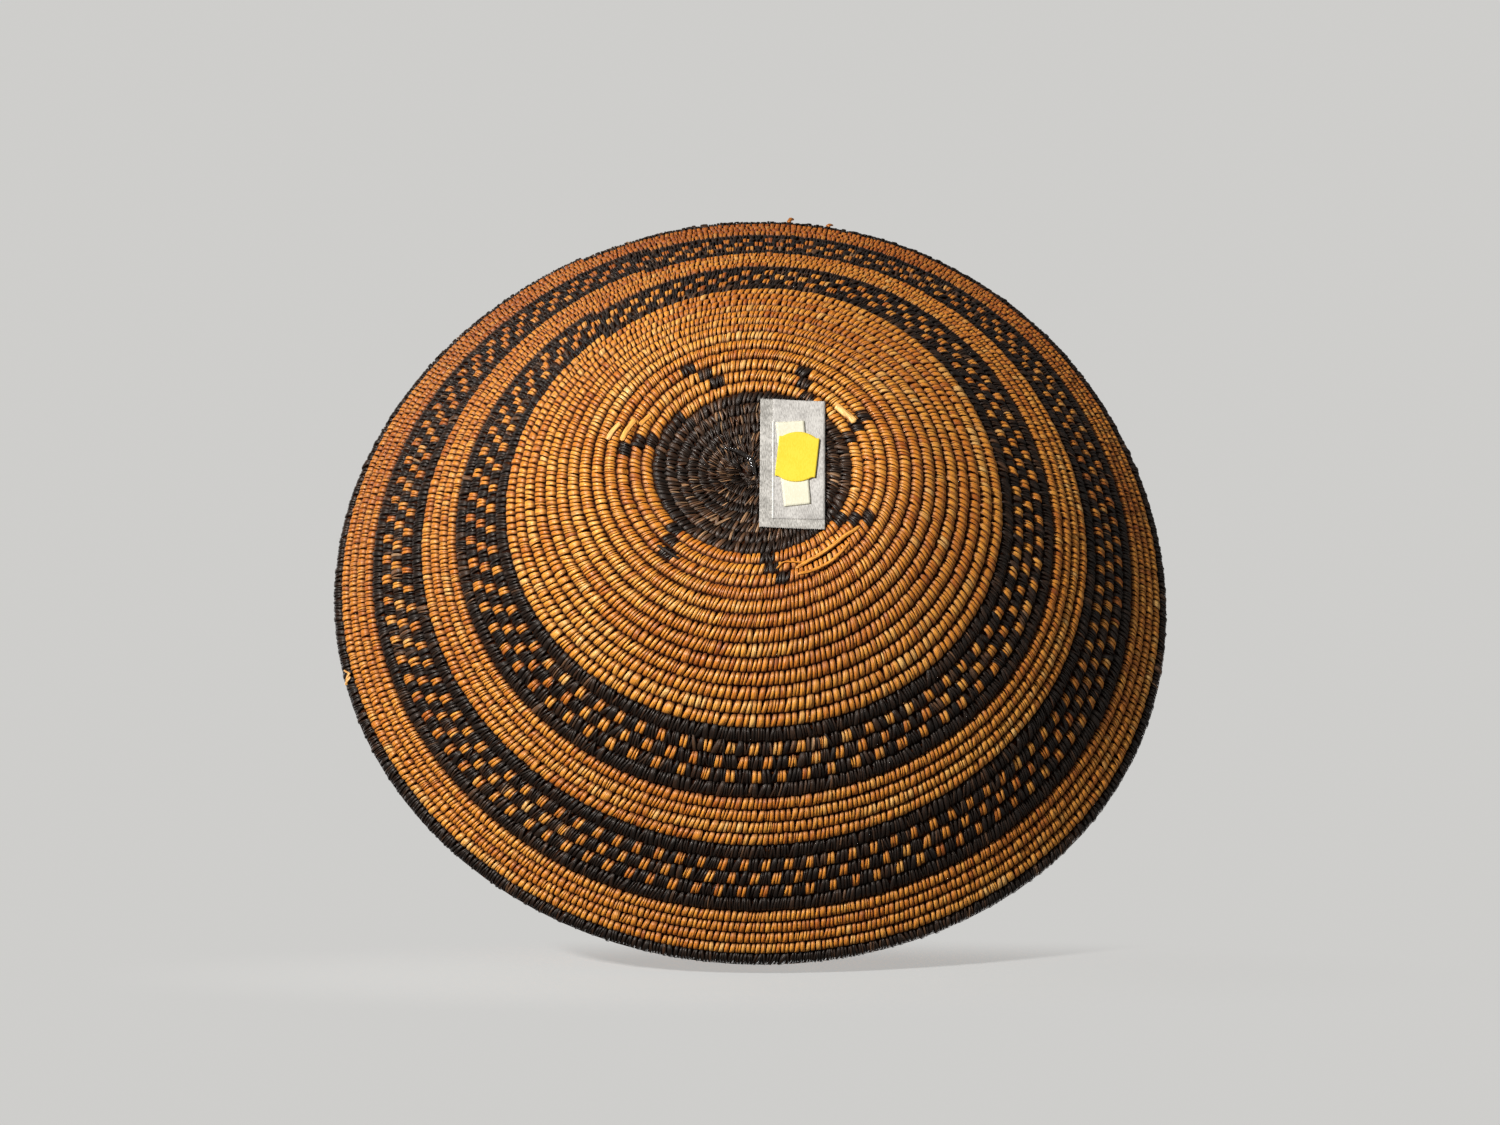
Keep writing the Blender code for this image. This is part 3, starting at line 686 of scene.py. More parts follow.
# %% Straps that stand off the wall
# Each row is a colour, width and thickness in metres, tone, and points of turn, azimuth and lift
LOOSE_STRAPS = (
    ("dark", 0.0013, 0.0008, 0.35, ((12.24, 320.7, 0.9), (12.08, 316.1, 1.3), (12.04, 308.5, 0.9))),
    ("straw", 0.0030, 0.0010, 1.00, ((10.36, 141.5, 2.2), (10.50, 148.6, 2.4), (10.78, 156.0, 2.2))),
    ("straw", 0.0017, 0.0011, 0.80, ((11.70, 216.6, 0.8), (11.27, 225.9, 2.3), (11.34, 238.0, 2.5),
                                     (11.39, 247.2, 1.9), (11.60, 254.6, 0.7))),
    ("straw", 0.0013, 0.0008, 0.62, ((11.87, 225.7, 0.8), (12.25, 238.4, 1.7), (12.22, 246.6, 1.7),
                                     (12.08, 254.6, 0.7))),
    ("straw", 0.0007, 0.0006, 0.55, ((11.29, 263.3, 0.8), (10.82, 259.1, 1.9), (11.29, 251.2, 2.1),
                                     (11.45, 247.4, 1.5))),
    ("straw", 0.0024, 0.0006, 0.95, ((13.30, 24.6, 0.8), (13.60, 20.0, 1.1), (13.80, 16.4, 0.8))),
    ("straw", 0.0024, 0.0006, 0.85, ((12.33, 28.4, 0.8), (12.55, 22.0, 1.1), (12.68, 16.4, 0.8))),
    ("straw", 0.0021, 0.0006, 0.80, ((11.45, 33.4, 0.8), (11.62, 30.0, 1.1), (11.78, 26.4, 0.8))),
    ("straw", 0.0014, 0.0007, 1.00, ((40.75, 348.4, 0.8), (41.10, 347.9, 1.3), (41.40, 347.0, 1.0))),
    ("straw", 0.0012, 0.0006, 1.00, ((40.80, 347.8, 0.8), (41.15, 347.4, 1.5), (41.50, 347.2, 1.0))),
    ("straw", 0.0009, 0.0005, 1.00, ((40.85, 348.4, 0.8), (41.05, 348.8, 1.3), (41.25, 349.2, 1.0))),
    ("straw", 0.0020, 0.0012, 0.75, ((40.50, 98.3, 0.8), (41.05, 98.6, 1.7), (41.40, 98.8, 0.8))),
    ("straw", 0.0020, 0.0010, 0.60, ((40.60, 104.0, 0.8), (41.00, 104.3, 1.1), (41.25, 104.5, 0.6))),
)


def wall_strap(wide, thick, points):
    """Strap from points given as turn, azimuth and millimetres of lift off the wall.

    Its flat side faces away from the wall, whose normal is (sine of the slope along the
    azimuth, minus cosine of the slope up).
    """
    turn, azimuth, lift = eased_line(points, 28).T
    slope, azimuth = np.radians(look_up(SLOPE_AT_TURN, turn)), np.radians(azimuth)
    path = wall_place(turn, lift * MILLIMETRE, azimuth)
    level = np.sin(slope)
    out = np.column_stack([level * np.cos(azimuth), level * np.sin(azimuth), -np.cos(slope)])
    return strap(path, path + out, wide, thick)


for colour in ("straw", "dark"):
    rows = [row for row in LOOSE_STRAPS if row[0] == colour]
    straps = [wall_strap(wide, thick, points) for _, wide, thick, _, points in rows]
    strap_piece(f"loose_straps_{colour}", straps, [tone for *_, tone, _ in rows], colour)

# %% The knot: a button, short ends around it, and the curl
KNOT_CENTRE = np.array([OFFSET[0] - MIDDLE[0], OFFSET[1] - MIDDLE[1]])
BUTTON_SPARE = 0.0005
BUTTON_MIDDLE = 0.0034
BUTTON_HALF_HEIGHT = 0.0022
KNOT_ENDS = 110
KNOT_END_INNER = (0.0010, 0.0034)
KNOT_END_OUTER = (0.0046, 0.0074)
KNOT_END_LIFT = (0.0002, 0.0014)
KNOT_END_SINK = 0.0006
FROM_BELOW = np.array([0.0, 0.0, 1.0])
CURL = ((11.9, 13.7, -0.2), (8.0, 13.3, 0.5), (5.0, 11.7, 0.9), (2.9, 10.2, 1.1), (1.1, 8.8, 1.3),
        (-0.1, 7.3, 1.4), (-0.7, 4.2, 1.2), (-1.5, 1.6, 0.2), (-1.7, -0.2, -1.4))


def knot_button():
    """Button that fills the spiral out to its first turn, as rings up its axis.

    Each ring has the radius of the first groove at each azimuth and a little to spare, times
    sqrt(1 - rise^2), which at the two tips is kept just over zero.
    """
    rise = np.linspace(-1, 1, 13)[:, None]
    wound = np.radians(np.arange(0, TURN, 9))[None, :]
    radius = np.interp(1 + wound / (2 * np.pi), TURNS, RADII) + BUTTON_SPARE
    radius = radius * np.sqrt(1.0004 - rise ** 2)
    azimuth = wound + math.radians(START_AZIMUTH)
    x = KNOT_CENTRE[0] + radius * np.cos(azimuth)
    y = KNOT_CENTRE[1] + radius * np.sin(azimuth)
    middle = float(under_base(*KNOT_CENTRE)) + BUTTON_MIDDLE
    return np.stack([x, y, middle + BUTTON_HALF_HEIGHT * rise + 0 * x], axis=-1)


def knot_end(azimuth, slant, inner, outer, lift):
    """Short strap that leans out of the middle, from one radius to another.

    It stands off the base by its lift times half a sine, and lies flat under the labels.
    """
    share = np.linspace(0, 1, 6)
    radius = inner + (outer - inner) * share
    turned = azimuth + slant * share
    x = KNOT_CENTRE[0] + radius * np.cos(turned)
    y = KNOT_CENTRE[1] + radius * np.sin(turned)
    arch = lift * np.sin(np.pi * (0.15 + 0.75 * share)) * ~under_label(x, y)
    path = np.column_stack([x, y, under_base(x, y) - arch + KNOT_END_SINK])
    return strap(path, path - FROM_BELOW, 0.0008, 0.0005, tip=0.3)


def curl():
    """Glossy strand that arches over the first turns and dives into the middle."""
    line = eased_line(CURL, 40) * MILLIMETRE
    path = np.column_stack([line[:, 0], line[:, 1], under_base(line[:, 0], line[:, 1]) - line[:, 2]])
    return strap(path, path - FROM_BELOW, 0.0023, 0.0018, tip=0.3)


ends = [knot_end(*row) for row in np.column_stack([
    chance.uniform(0, 2 * np.pi, KNOT_ENDS), chance.normal(0.7, 0.3, KNOT_ENDS),
    chance.uniform(*KNOT_END_INNER, KNOT_ENDS), chance.uniform(*KNOT_END_OUTER, KNOT_ENDS),
    chance.uniform(*KNOT_END_LIFT, KNOT_ENDS)])]
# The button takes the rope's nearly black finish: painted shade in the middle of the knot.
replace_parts(strap_piece("start_knot_button", [knot_button()], [0.0], "grass"), "start_knot")
knot = strap_piece("start_knot_ends", ends, np.clip(chance.normal(0.6, 0.22, KNOT_ENDS), 0, 1), "dark")
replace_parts(knot, "start_knot")
strap_piece("start_curl", [curl()], [0.0], "gloss")

# %% [markdown]
# ## Paper under the base
#
# Four papers are stuck on top of one another: tissue, a second layer of tissue, a strip of card
# and a round sticker whose square backing shows at its corners. A narrow fifth sheet is the
# fold in the tissue. Each is a thin closed sheet on a grid, a step below the last, and all
# follow the hollow of the base. Their corners were measured in the photo.

# %% Sheets that follow the base
PAPERS = []
LEAST_HEIGHT = 0.0004


def paper_piece(name, node, x, y, drop, paper, finish):
    """Closed sheet over a grid of plan positions, so far below the base's crowns."""
    rows, columns = x.shape
    high = np.maximum(under_base(x, y) - drop, LEAST_HEIGHT)
    low = high - paper
    points = np.concatenate([np.stack([x, y, z], axis=-1).reshape(-1, 3) for z in (low, high)])
    corner = (np.arange(rows - 1)[:, None] * columns + np.arange(columns - 1)).ravel()
    face = np.stack([corner, corner + 1, corner + columns + 1, corner + columns], axis=-1)
    grid = np.arange(rows * columns).reshape(rows, columns)
    border = np.concatenate((grid[0, :-1], grid[:-1, -1], grid[-1, :0:-1], grid[:0:-1, 0]))
    onward = np.roll(border, -1)
    total = rows * columns
    sides = np.stack([onward, border, border + total, onward + total], axis=-1)
    quads = np.concatenate((face, face[:, ::-1] + total, sides))
    grain = np.tile(np.stack([x.ravel(), y.ravel()], axis=-1) * 1000, (2, 1))
    thing = make_mesh(name, points, quads, grain)
    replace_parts(thing, node)
    PAPERS.append((thing, finish))


def four_sided(corners, columns, rows, teeth=0.0):
    """Plan of a sheet between four corners; teeth cut its two short ends in a fine zigzag."""
    across = np.linspace(0, 1, columns + 1)[None, :]
    notch = teeth * (np.arange(columns + 1) % 2)[None, :] * chance.uniform(0.5, 1.0, (1, columns + 1))
    up = notch + np.linspace(0, 1, rows + 1)[:, None] * (1 - 2 * notch)
    first, second, third, fourth = (np.array(corner) * MILLIMETRE for corner in corners)
    return [(1 - across) * (1 - up) * first[axis] + across * (1 - up) * second[axis]
            + across * up * third[axis] + (1 - across) * up * fourth[axis] for axis in range(2)]


# %% Tissue and card
# Each row is a piece, its corners in millimetres, cells across and up, teeth, drop, thickness
# and finish
TISSUES = (
    ("tissue_label_lower", ((-1.6, -24.2), (-28.1, -27.7), (-32.1, 31.3), (-5.6, 34.9)),
     (62, 56), 0.010, 0.0002, 0.00014, "tissue"),
    ("tissue_label_upper", ((-7.2, -20.6), (-28.4, -22.9), (-32.0, 31.1), (-10.6, 34.2)),
     (20, 50), 0.003, 0.0004, 0.00012, "tissue_double"),
    ("tissue_label_fold", ((-7.0, -20.6), (-7.7, -20.7), (-10.5, 24.0), (-9.8, 24.0)),
     (3, 50), 0.0, 0.0005, 0.00026, "tissue_fold"),
)
CARD_CORNERS = ((-12.3, -15.3), (-23.1, -14.9), (-22.9, 23.3), (-11.2, 23.5))

for name, corners, cells, teeth, drop, paper, finish in TISSUES:
    paper_piece(name, "tissue_label", *four_sided(corners, *cells, teeth), drop, paper, finish)
paper_piece("paper_tag_card", "paper_tag", *four_sided(CARD_CORNERS, 12, 36), 0.0007, 0.0003, "card")

# %% The sticker
STICKER_MIDDLE = (-0.0190, 0.0071)
STICKER_HALF = (0.0083, 0.0089)
STICKER_RADIUS = 0.0113
STICKER_TURN = -9.5


def sticker_plan(cells=28):
    """Plan of the sticker, from a square grid whose rings are stretched to its outline.

    The outline is a rectangle laid over a disc whose two sides are cut straight, so its reach
    in a direction is the larger of the two shapes' reaches.
    """
    u, v = np.meshgrid(np.linspace(-1, 1, cells + 1), np.linspace(-1, 1, cells + 1))
    angle = np.arctan2(v * STICKER_HALF[1], u * STICKER_HALF[0])
    side, end = np.abs(np.cos(angle)) / STICKER_HALF[0], np.abs(np.sin(angle)) / STICKER_HALF[1]
    reach = 1 / np.minimum(np.maximum(side, end), np.maximum(side, 1 / STICKER_RADIUS))
    reach = reach * np.maximum(np.abs(u), np.abs(v))
    turned = angle + math.radians(180 + STICKER_TURN)
    x = STICKER_MIDDLE[0] + reach * np.cos(turned)
    y = STICKER_MIDDLE[1] - reach * np.sin(turned)
    return x, y


paper_piece("round_sticker_paper", "round_sticker", *sticker_plan(), 0.0011, 0.0002, "sticker")
print("papers:", ", ".join(thing.name for thing, _ in PAPERS))

# %% [markdown]
# ## Finishes as sums
#
# A shader graph is arithmetic on colours and numbers, so it reads best as arithmetic. One small
# class wraps a node's output and lends it Python's operators; every other node comes from one
# method that takes the node's type, its settings and its inputs.

# %% A wire that can be added and multiplied
class Wire:
    """Output of a node; +, - and * with wires or numbers add the Math node that works it out."""

    def __init__(self, tree, socket):
        self.tree = tree
        self.socket = socket

    def math(self, operation, first, second):
        node = self.tree.nodes.new("ShaderNodeMath")
        node.operation = operation
        for slot, value in zip(node.inputs, (first, second)):
            plug(self.tree, slot, value)
        return Wire(self.tree, node.outputs[0])

    def __add__(self, other):
        return self.math("ADD", self, other)

    def __sub__(self, other):
        return self.math("SUBTRACT", self, other)

    def __rsub__(self, other):
        return self.math("SUBTRACT", other, self)

    def __mul__(self, other):
        return self.math("MULTIPLY", self, other)

    __radd__ = __add__
    __rmul__ = __mul__


def plug(tree, slot, value):
    """Link a wire to an input, or set the input to a plain value."""
    if isinstance(value, Wire):
        tree.links.new(value.socket, slot)
    else:
        slot.default_value = value


class Finish:
    """Material with one Principled shader, and a method that adds any other node."""

    def __init__(self, name, **constants):
        self.material = bpy.data.materials.new(name)
        self.material.use_nodes = True
        self.tree = self.material.node_tree
        self.shader = self.tree.nodes["Principled BSDF"]
        for slot, value in constants.items():
            self.shader.inputs[slot.replace("_", " ")].default_value = value

    def node(self, kind, settings=None, inputs=None, output=0):
        """Wire from a new node: settings come first, then values or wires for its inputs."""
        node = self.tree.nodes.new(kind)
        for setting, value in (settings or {}).items():
            if setting == "stops":
                for stop in range(len(value) - 2):
                    node.color_ramp.elements.new(0.5)
                for element, (position, colour) in zip(node.color_ramp.elements, value):
                    element.position = position
                    element.color = (*colour, 1.0)
            else:
                setattr(node, setting, value)
        for slot, value in (inputs or {}).items():
            plug(self.tree, node.inputs[slot], value)
        return Wire(self.tree, node.outputs[output])

    def mark(self, name):
        """Number that the mesh carries at each point under this name."""
        return self.node("ShaderNodeAttribute", {"attribute_name": name}, output=2)

    def mix(self, share, low, high, blend="MIX"):
        """Colour between low and high by share, or another of the Mix node's blends."""
        return self.node("ShaderNodeMix", {"data_type": "RGBA", "blend_type": blend},
                         {0: share, 6: low, 7: high}, output=2)

    def ramp(self, share, stops):
        """Colour read off a row of colour stops."""
        return self.node("ShaderNodeValToRGB", {"stops": stops}, {"Fac": share})

    def streaks(self, across, along, detail=2.0):
        """Noise drawn out along a strap: its map is in millimetres, scaled apart on each axis."""
        place = self.node("ShaderNodeUVMap", {"uv_map": "grain"})
        place = self.node("ShaderNodeMapping", {}, {"Vector": place, "Scale": (across, along, 1.0)})
        return self.node("ShaderNodeTexNoise", {"noise_dimensions": "2D"},
                         {"Vector": place, "Scale": 1.0, "Detail": detail, "Roughness": 0.6})

    def spots(self, scale, detail=2.0):
        """Noise in space, for stains and wear that pass over from piece to piece."""
        place = self.node("ShaderNodeTexCoord", output=3)
        return self.node("ShaderNodeTexNoise", {}, {"Vector": place, "Scale": scale, "Detail": detail})

    def painted_upper_shade(self):
        """Share of painted shade, from the place alone: most high up, on the +x +y side.

        It is a ramp of the height times a ramp of 0.3 + x + 4 y, with x and y in metres.
        """
        place = self.node("ShaderNodeTexCoord", output=3)
        x, y, z = (self.node("ShaderNodeSeparateXYZ", {}, {"Vector": place}, output=axis)
                   for axis in range(3))
        high = self.node("ShaderNodeMapRange", {}, {"Value": z, "From Min": 0.02, "From Max": 0.085})
        side = self.node("ShaderNodeMapRange", {}, {"Value": x + y * 4.0 + 0.3})
        return high * side

    def finish(self, colour, roughness=None, height=None, distance=0.0, strength=1.0):
        """Wire up the shader: its colour, and where given its roughness and its bump."""
        plug(self.tree, self.shader.inputs["Base Color"], colour)
        if roughness is not None:
            plug(self.tree, self.shader.inputs["Roughness"], roughness)
        if height is not None:
            bump = self.node("ShaderNodeBump", {}, {
                "Height": height, "Distance": distance, "Strength": strength})
            plug(self.tree, self.shader.inputs["Normal"], bump)
        return self.material


# %% [markdown]
# ## Straw, black fibre and grass
#
# Split plant stems have a silky outer skin with fine lengthwise ribs. Their shade differs from
# strand to strand, which is the tone mark, and within a strap there are streaks, from the grain
# map. Painted shade darkens the colour to a deep red-brown beside each bead, by the depth mark,
# and high up on the +x +y side. The black strands are dyed or dug up dark, and worn to brown in
# places.

# %% Straw-coloured and black strands
# Share of painted shade at each value of the depth mark, from none to full.
PAINTED_SHADE_AT_DEPTH = [(0.08, (0.0, 0.0, 0.0)), (0.40, (0.55, 0.55, 0.55)), (0.70, (1.0, 1.0, 1.0))]
RIB_HEIGHT = 0.00026


def straw_finish():
    """Golden strand: tone picks the colour, and stains, ribs, fibres and painted shade darken it.

    Its ribs are smoother than the rest, because they are what hands and shelves polish.
    """
    make = Finish("straw_strand", Specular_IOR_Level=0.8, Specular_Tint=(1.0, 0.95, 0.78, 1.0))
    ribs, fibres = make.streaks(1.7, 0.16), make.streaks(5.0, 0.35)
    colour = make.ramp(make.mark("tone"), [
        (0.0, (0.56, 0.150, 0.010)), (0.25, (0.74, 0.245, 0.019)), (0.55, (0.88, 0.350, 0.034)),
        (0.80, (0.93, 0.430, 0.062)), (1.0, (0.97, 0.570, 0.170))])
    stain = make.spots(22.0, 3.0)
    colour = make.mix(0.5, colour, make.ramp(stain, [
        (0.30, (0.68, 0.54, 0.40)), (0.62, (1.0, 1.0, 1.0))]), "MULTIPLY")
    colour = make.mix(1.0, colour, make.ramp(ribs, [
        (0.30, (0.48, 0.32, 0.20)), (0.50, (1.0, 0.96, 0.90)), (0.70, (1.12, 1.16, 1.35))]), "MULTIPLY")
    colour = make.mix(0.6, colour, make.ramp(fibres, [
        (0.30, (0.55, 0.45, 0.36)), (0.58, (1.0, 1.0, 1.0))]), "MULTIPLY")
    # Painted shade: the straw is darker high up on the wall and towards +x +y.
    colour = make.mix(make.painted_upper_shade(), colour, (0.60, 0.45, 0.32, 1.0), "MULTIPLY")
    depth = make.mark("depth")
    # Painted shade: deep red-brown beside each bead, by the depth mark.
    colour = make.mix(make.ramp(depth, PAINTED_SHADE_AT_DEPTH), colour, (0.085, 0.010, 0.0008, 1.0))
    return make.finish(colour, 0.62 - ribs * 0.5 + depth * 0.6, ribs + fibres * 0.3, RIB_HEIGHT)


def dark_finish():
    """Black strand: tone goes from black to worn brown, ribs lighten it and painted shade by depth darkens
    it.
    """
    make = Finish("dark_strand", Specular_IOR_Level=0.5, Specular_Tint=(1.0, 0.92, 0.84, 1.0))
    ribs, fibres = make.streaks(1.9, 0.18), make.streaks(5.0, 0.35)
    colour = make.ramp(make.mark("tone"), [
        (0.0, (0.006, 0.0028, 0.0014)), (0.50, (0.016, 0.0075, 0.0040)), (0.70, (0.045, 0.021, 0.010)),
        (0.86, (0.15, 0.075, 0.036)), (1.0, (0.34, 0.20, 0.10))])
    colour = make.mix(0.9, colour, make.ramp(ribs, [
        (0.34, (0.40, 0.36, 0.32)), (0.55, (1.0, 1.0, 1.0)), (0.75, (2.6, 2.2, 2.0))]), "MULTIPLY")
    depth = make.mark("depth")
    # Painted shade: nearly black beside each bead, by the depth mark.
    colour = make.mix(depth * 0.7, colour, (0.005, 0.0012, 0.0004, 1.0))
    return make.finish(colour, 0.62 - ribs * 0.5 + depth * 0.5, ribs + fibres * 0.3, RIB_HEIGHT)


def grass_finish():
    """Grass of the rope: stems drawn out along the coil, from nearly black to brown."""
    make = Finish("grass_rope", Specular_IOR_Level=0.05)
    stems = make.streaks(1.6, 0.06)
    # The rope's nearly black colour is painted shade for the gaps between stitches.
    colour = make.ramp(stems, [
        (0.25, (0.008, 0.002, 0.0005)), (0.5, (0.022, 0.005, 0.001)), (0.75, (0.07, 0.020, 0.004))])
    return make.finish(colour, 0.7, stems, 0.0004)


def gloss_finish():
    """The curl's glossy black, with fine fibres that break up its highlight."""
    make = Finish("curl_strand", Specular_IOR_Level=1.0)
    fibres = make.streaks(3.0, 0.3)
    colour = make.ramp(fibres, [
        (0.3, (0.006, 0.004, 0.003)), (0.6, (0.014, 0.010, 0.008)), (0.8, (0.05, 0.04, 0.035))])
    return make.finish(colour, 0.06 + fibres * 0.16, fibres, 0.00030)


def paper_finish(name, dark, light, across=1.6, along=0.7, sharp=0.5):
    """Paper whose fibres are streaks between a dark and a light colour, with a few flecks."""
    make = Finish(name, Specular_IOR_Level=0.25, Roughness=0.75)
    fibres = make.streaks(across, along, 4.0)
    cloud = make.spots(160.0, 3.0)
    share = fibres * 1.4 + cloud * 0.8 - 0.6
    colour = make.ramp(share, [(0.5 - sharp / 2, dark), (0.5 + sharp / 2, light)])
    flecks = make.streaks(2.6, 1.7, 1.0)
    colour = make.mix(0.7 * sharp, colour, make.ramp(flecks, [
        (0.20, (0.45, 0.40, 0.36)), (0.34, (1.0, 1.0, 1.0))]), "MULTIPLY")
    return make.finish(colour, None, fibres, 0.0001, 0.6)


FINISHES = {
    "straw": straw_finish(), "dark": dark_finish(), "grass": grass_finish(), "gloss": gloss_finish(),
    "tissue": paper_finish("tissue_single", (0.24, 0.225, 0.20), (0.56, 0.53, 0.48), 2.4, 0.6, 0.50),
    "tissue_double": paper_finish("tissue_double", (0.32, 0.30, 0.275), (0.58, 0.55, 0.505), 2.4, 0.6, 0.50),
    "tissue_fold": paper_finish("tissue_fold", (0.52, 0.50, 0.45), (0.85, 0.84, 0.80), sharp=0.7),
    "card": paper_finish("cream_card", (0.66, 0.62, 0.46), (0.71, 0.67, 0.52), sharp=0.2),
    "sticker": paper_finish("yellow_sticker", (0.72, 0.53, 0.030), (0.76, 0.57, 0.042), sharp=0.2),
}
print("finishes:", ", ".join(FINISHES))

# %% Give every piece its finish and its body
def dress(piece, finish):
    """Finish, in a new material slot, and body of one piece."""
    piece.data.materials.append(FINISHES[finish])
    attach(piece, "root")


for piece, finish in PIECES + PAPERS:
    dress(piece, finish)

# %% [markdown]
# ## Camera
#
# The photo shows the bowl from below as it leans back, so in the bowl's own frame the camera is
# under the table level and looks up at the base. Its place was fitted to the rim's outline and
# to the black lines: a lens of 96 mm on a 36 mm frame, 1.64 m from the middle of the spiral.

# %% Photo camera
TILT = math.radians(26.148)
YAW = math.radians(-1.315)
ROLL = math.radians(3.050)
CAMERA_SHIFT = Vector((0.001413, -0.034938, 1.63785))


def photo_axes():
    """Right, down and forward of the camera, in the bowl's frame.

    Before the turn by yaw, right is -x, and forward leans from +z towards +y by the tilt. The
    roll turns right towards down, about forward.
    """
    right = Vector((-math.cos(YAW), math.sin(TILT) * math.sin(YAW), math.cos(TILT) * math.sin(YAW)))
    down = Vector((0, -math.cos(TILT), math.sin(TILT)))
    forward = Vector((math.sin(YAW), math.sin(TILT) * math.cos(YAW), math.cos(TILT) * math.cos(YAW)))
    rolled = right * math.cos(ROLL) + down * math.sin(ROLL)
    return rolled, down * math.cos(ROLL) - right * math.sin(ROLL), forward


RIGHT, DOWN, FORWARD = photo_axes()
middle = Vector((-MIDDLE[0], -MIDDLE[1], -FLOOR_LEVEL))
place = middle - RIGHT * CAMERA_SHIFT.x - DOWN * CAMERA_SHIFT.y - FORWARD * CAMERA_SHIFT.z
camera_data = bpy.data.cameras.new("photo_camera")
camera_data.lens = 96
camera_data.sensor_width = 36
camera = bpy.data.objects.new("photo_camera", camera_data)
bpy.context.scene.collection.objects.link(camera)
turn_to = Matrix((RIGHT, -DOWN, -FORWARD)).transposed().to_4x4()
camera.matrix_world = Matrix.Translation(place) @ turn_to
bpy.context.scene.camera = camera
print("camera at", [round(value, 3) for value in place])

# %% [markdown]
# ## Floors and light
#
# A bowl that stands mouth up is seen here from below, so there are two floors. One is the level
# table under the bowl, for views from above. The other is the surface that the leaning bowl
# touches with its rim in the photo, cut down to the narrow strip that its shadow needs. Each is
# seen from its upper side only and casts nothing on the bowl. The pale colour behind everything
# is the world's, and the floors are a thin veil of plain diffuse in the same colour, which
# keeps the bowl's shadow and thins out to nothing. Lamps above and below light the bowl for
# both kinds of view.

# %% One pale colour behind everything
PALE = (0.62, 0.615, 0.60)
AMBIENT = 0.15


def pale_world():
    """World that lights the bowl softly, and looks pale to the camera."""
    world = bpy.data.worlds.new("plain_room")
    bpy.context.scene.world = world
    world.use_nodes = True
    nodes, links = world.node_tree.nodes, world.node_tree.links
    light = nodes["Background"]
    light.inputs["Color"].default_value = (1.0, 0.985, 0.96, 1.0)
    light.inputs["Strength"].default_value = AMBIENT
    backdrop = nodes.new("ShaderNodeBackground")
    backdrop.inputs["Color"].default_value = (*PALE, 1.0)
    path = nodes.new("ShaderNodeLightPath")
    choose = nodes.new("ShaderNodeMixShader")
    links.new(path.outputs["Is Camera Ray"], choose.inputs["Fac"])
    links.new(light.outputs[0], choose.inputs[1])
    links.new(backdrop.outputs[0], choose.inputs[2])
    links.new(choose.outputs[0], nodes["World Output"].inputs["Surface"])


def floor_finish(name, share):
    """Pale matte that keeps shadows near the floor's middle and is clear further off and behind.

    The floor's map runs from -1 to 1 each way. Past 0.35 from the middle the share of diffuse
    falls smoothly to none at 1, so that the floor has no edge or horizon.
    """
    make = Finish(name)
    nodes, links = make.tree.nodes, make.tree.links
    place = make.node("ShaderNodeUVMap", {"uv_map": "grain"})
    away = make.node("ShaderNodeVectorMath", {"operation": "LENGTH"}, {0: place}, output=1)
    near = make.node("ShaderNodeMapRange", {"interpolation_type": "SMOOTHSTEP"},
                     {"Value": away, "From Min": 0.35, "From Max": 1.0, "To Min": share, "To Max": 0.0})
    clear = nodes.new("ShaderNodeBsdfTransparent")
    matte = nodes.new("ShaderNodeBsdfDiffuse")
    matte.inputs["Color"].default_value = (*PALE, 1.0)
    blend = nodes.new("ShaderNodeMixShader")
    links.new(near.socket, blend.inputs["Fac"])
    links.new(clear.outputs[0], blend.inputs[1])
    links.new(matte.outputs[0], blend.inputs[2])
    side = nodes.new("ShaderNodeNewGeometry")
    one_sided = nodes.new("ShaderNodeMixShader")
    links.new(side.outputs["Backfacing"], one_sided.inputs["Fac"])
    links.new(blend.outputs[0], one_sided.inputs[1])
    links.new(clear.outputs[0], one_sided.inputs[2])
    links.new(one_sided.outputs[0], nodes["Material Output"].inputs["Surface"])
    return make.material


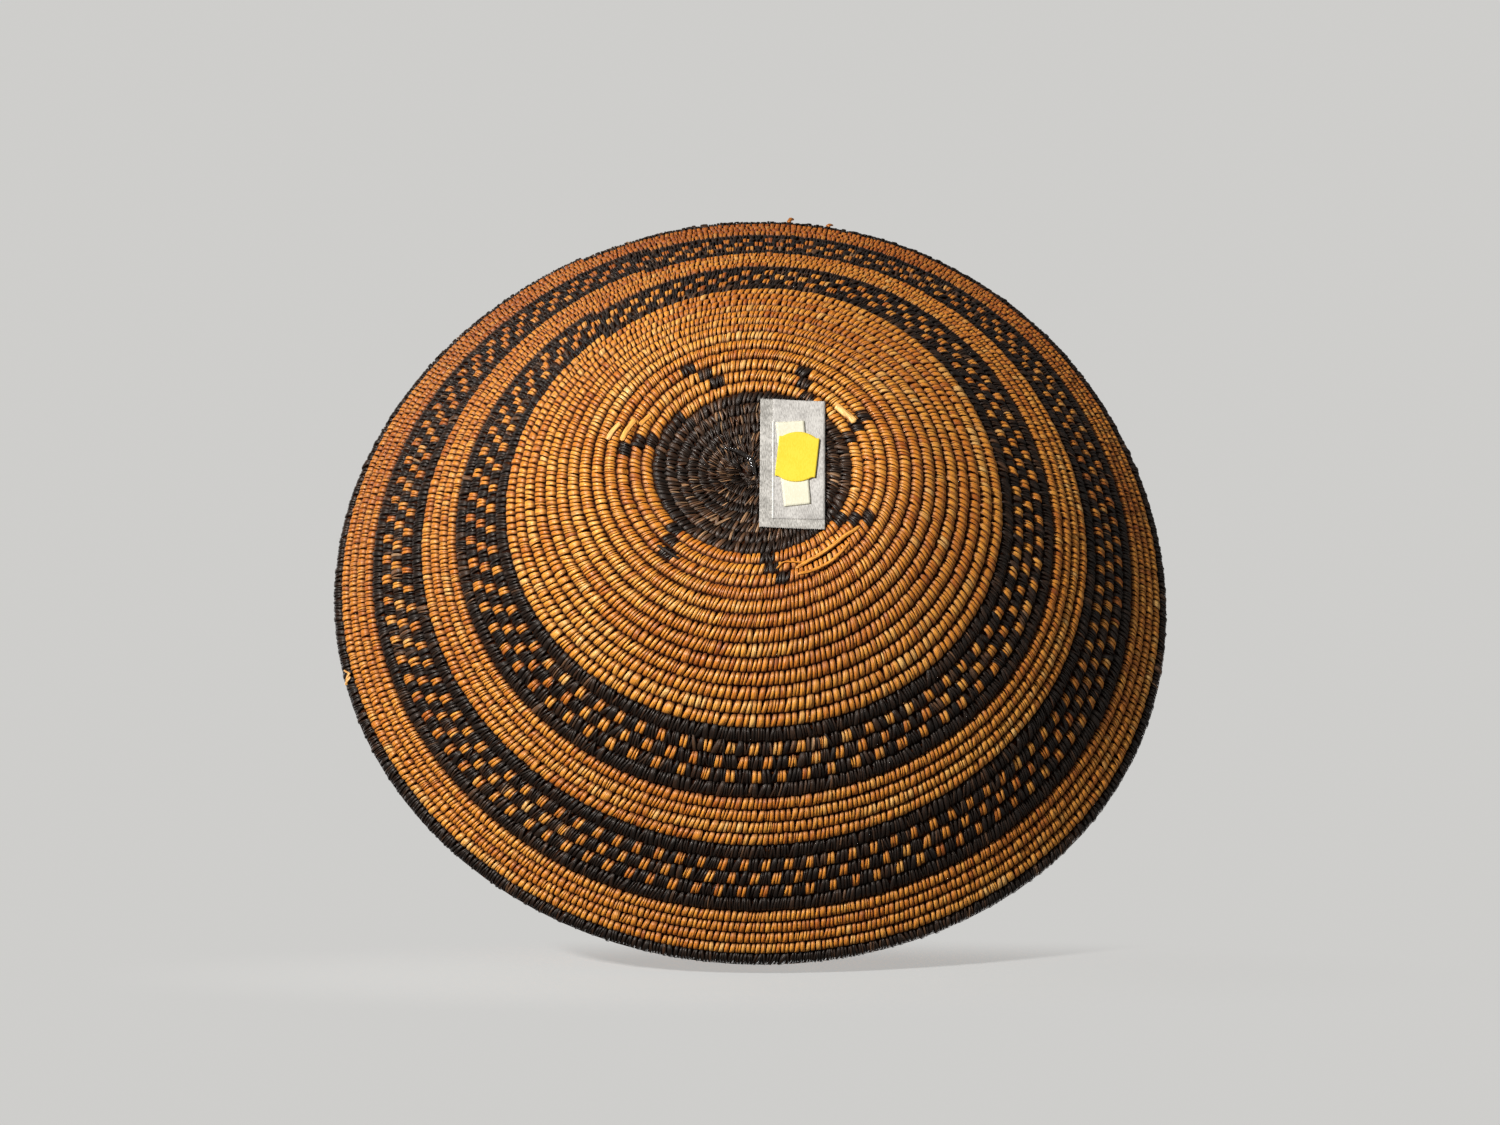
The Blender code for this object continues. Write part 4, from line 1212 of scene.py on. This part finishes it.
def floor_plane(name, middle, along, across, share):
    """Floor that reaches from its middle by along and across; their cross product is its up."""
    corners = np.array([(-1, -1), (1, -1), (1, 1), (-1, 1)])
    points = np.array(middle) + corners[:, :1] * np.array(along) + corners[:, 1:] * np.array(across)
    floor = make_mesh(name, points, np.arange(4)[None], corners)
    floor.data.materials.append(floor_finish(name, share))
    floor.visible_shadow = False
    floor.visible_diffuse = False
    floor.visible_glossy = False
    floor.visible_transmission = False


pale_world()
PITCH_DOWN = math.radians(6.0)
RIM_GAP = 0.004
LEAN_UP = (-DOWN * math.cos(PITCH_DOWN) - FORWARD * math.sin(PITCH_DOWN)).normalized()
rim_low = Vector((0.0, -0.1775, 0.0985))
floor_plane("table_floor", (0, 0, 0), (1.0, 0, 0), (0, 1.0, 0), 0.55)
floor_plane("lean_floor", rim_low - LEAN_UP * RIM_GAP, RIGHT * 0.30, LEAN_UP.cross(RIGHT) * 0.08, 0.32)
print("lean floor faces", [round(value, 3) for value in LEAN_UP])


# %% Lamps for the leaning view and for views from above
def lamp(name, towards, distance, size, light):
    """Square lamp that faces the bowl; light is the strength that falls on a facing surface.

    A small lamp of power P at a distance d sheds P / (pi d^2), so P is light times pi d^2.
    """
    data = bpy.data.lights.new(name, "AREA")
    data.shape = "SQUARE"
    data.size = size
    data.energy = light * math.pi * distance ** 2
    thing = bpy.data.objects.new(name, data)
    bpy.context.scene.collection.objects.link(thing)
    aim = Vector((0, 0, 0.05))
    place = aim + Vector(towards).normalized() * distance
    turned = (place - aim).to_track_quat("Z", "Y").to_matrix().to_4x4()
    thing.matrix_world = Matrix.Translation(place) @ turned


lamp("key_below", (0.60, 0.20, -0.775), 1.7, 0.20, 5.1)
lamp("fill_side", (-0.85, -0.25, -0.45), 1.8, 0.9, 0.28)
lamp("key_above", (-0.5, -0.6, 1.2), 1.9, 0.7, 2.6)
lamp("fill_above", (0.8, 0.5, 0.9), 1.9, 1.2, 0.9)
bpy.context.scene.view_settings.view_transform = "Standard"
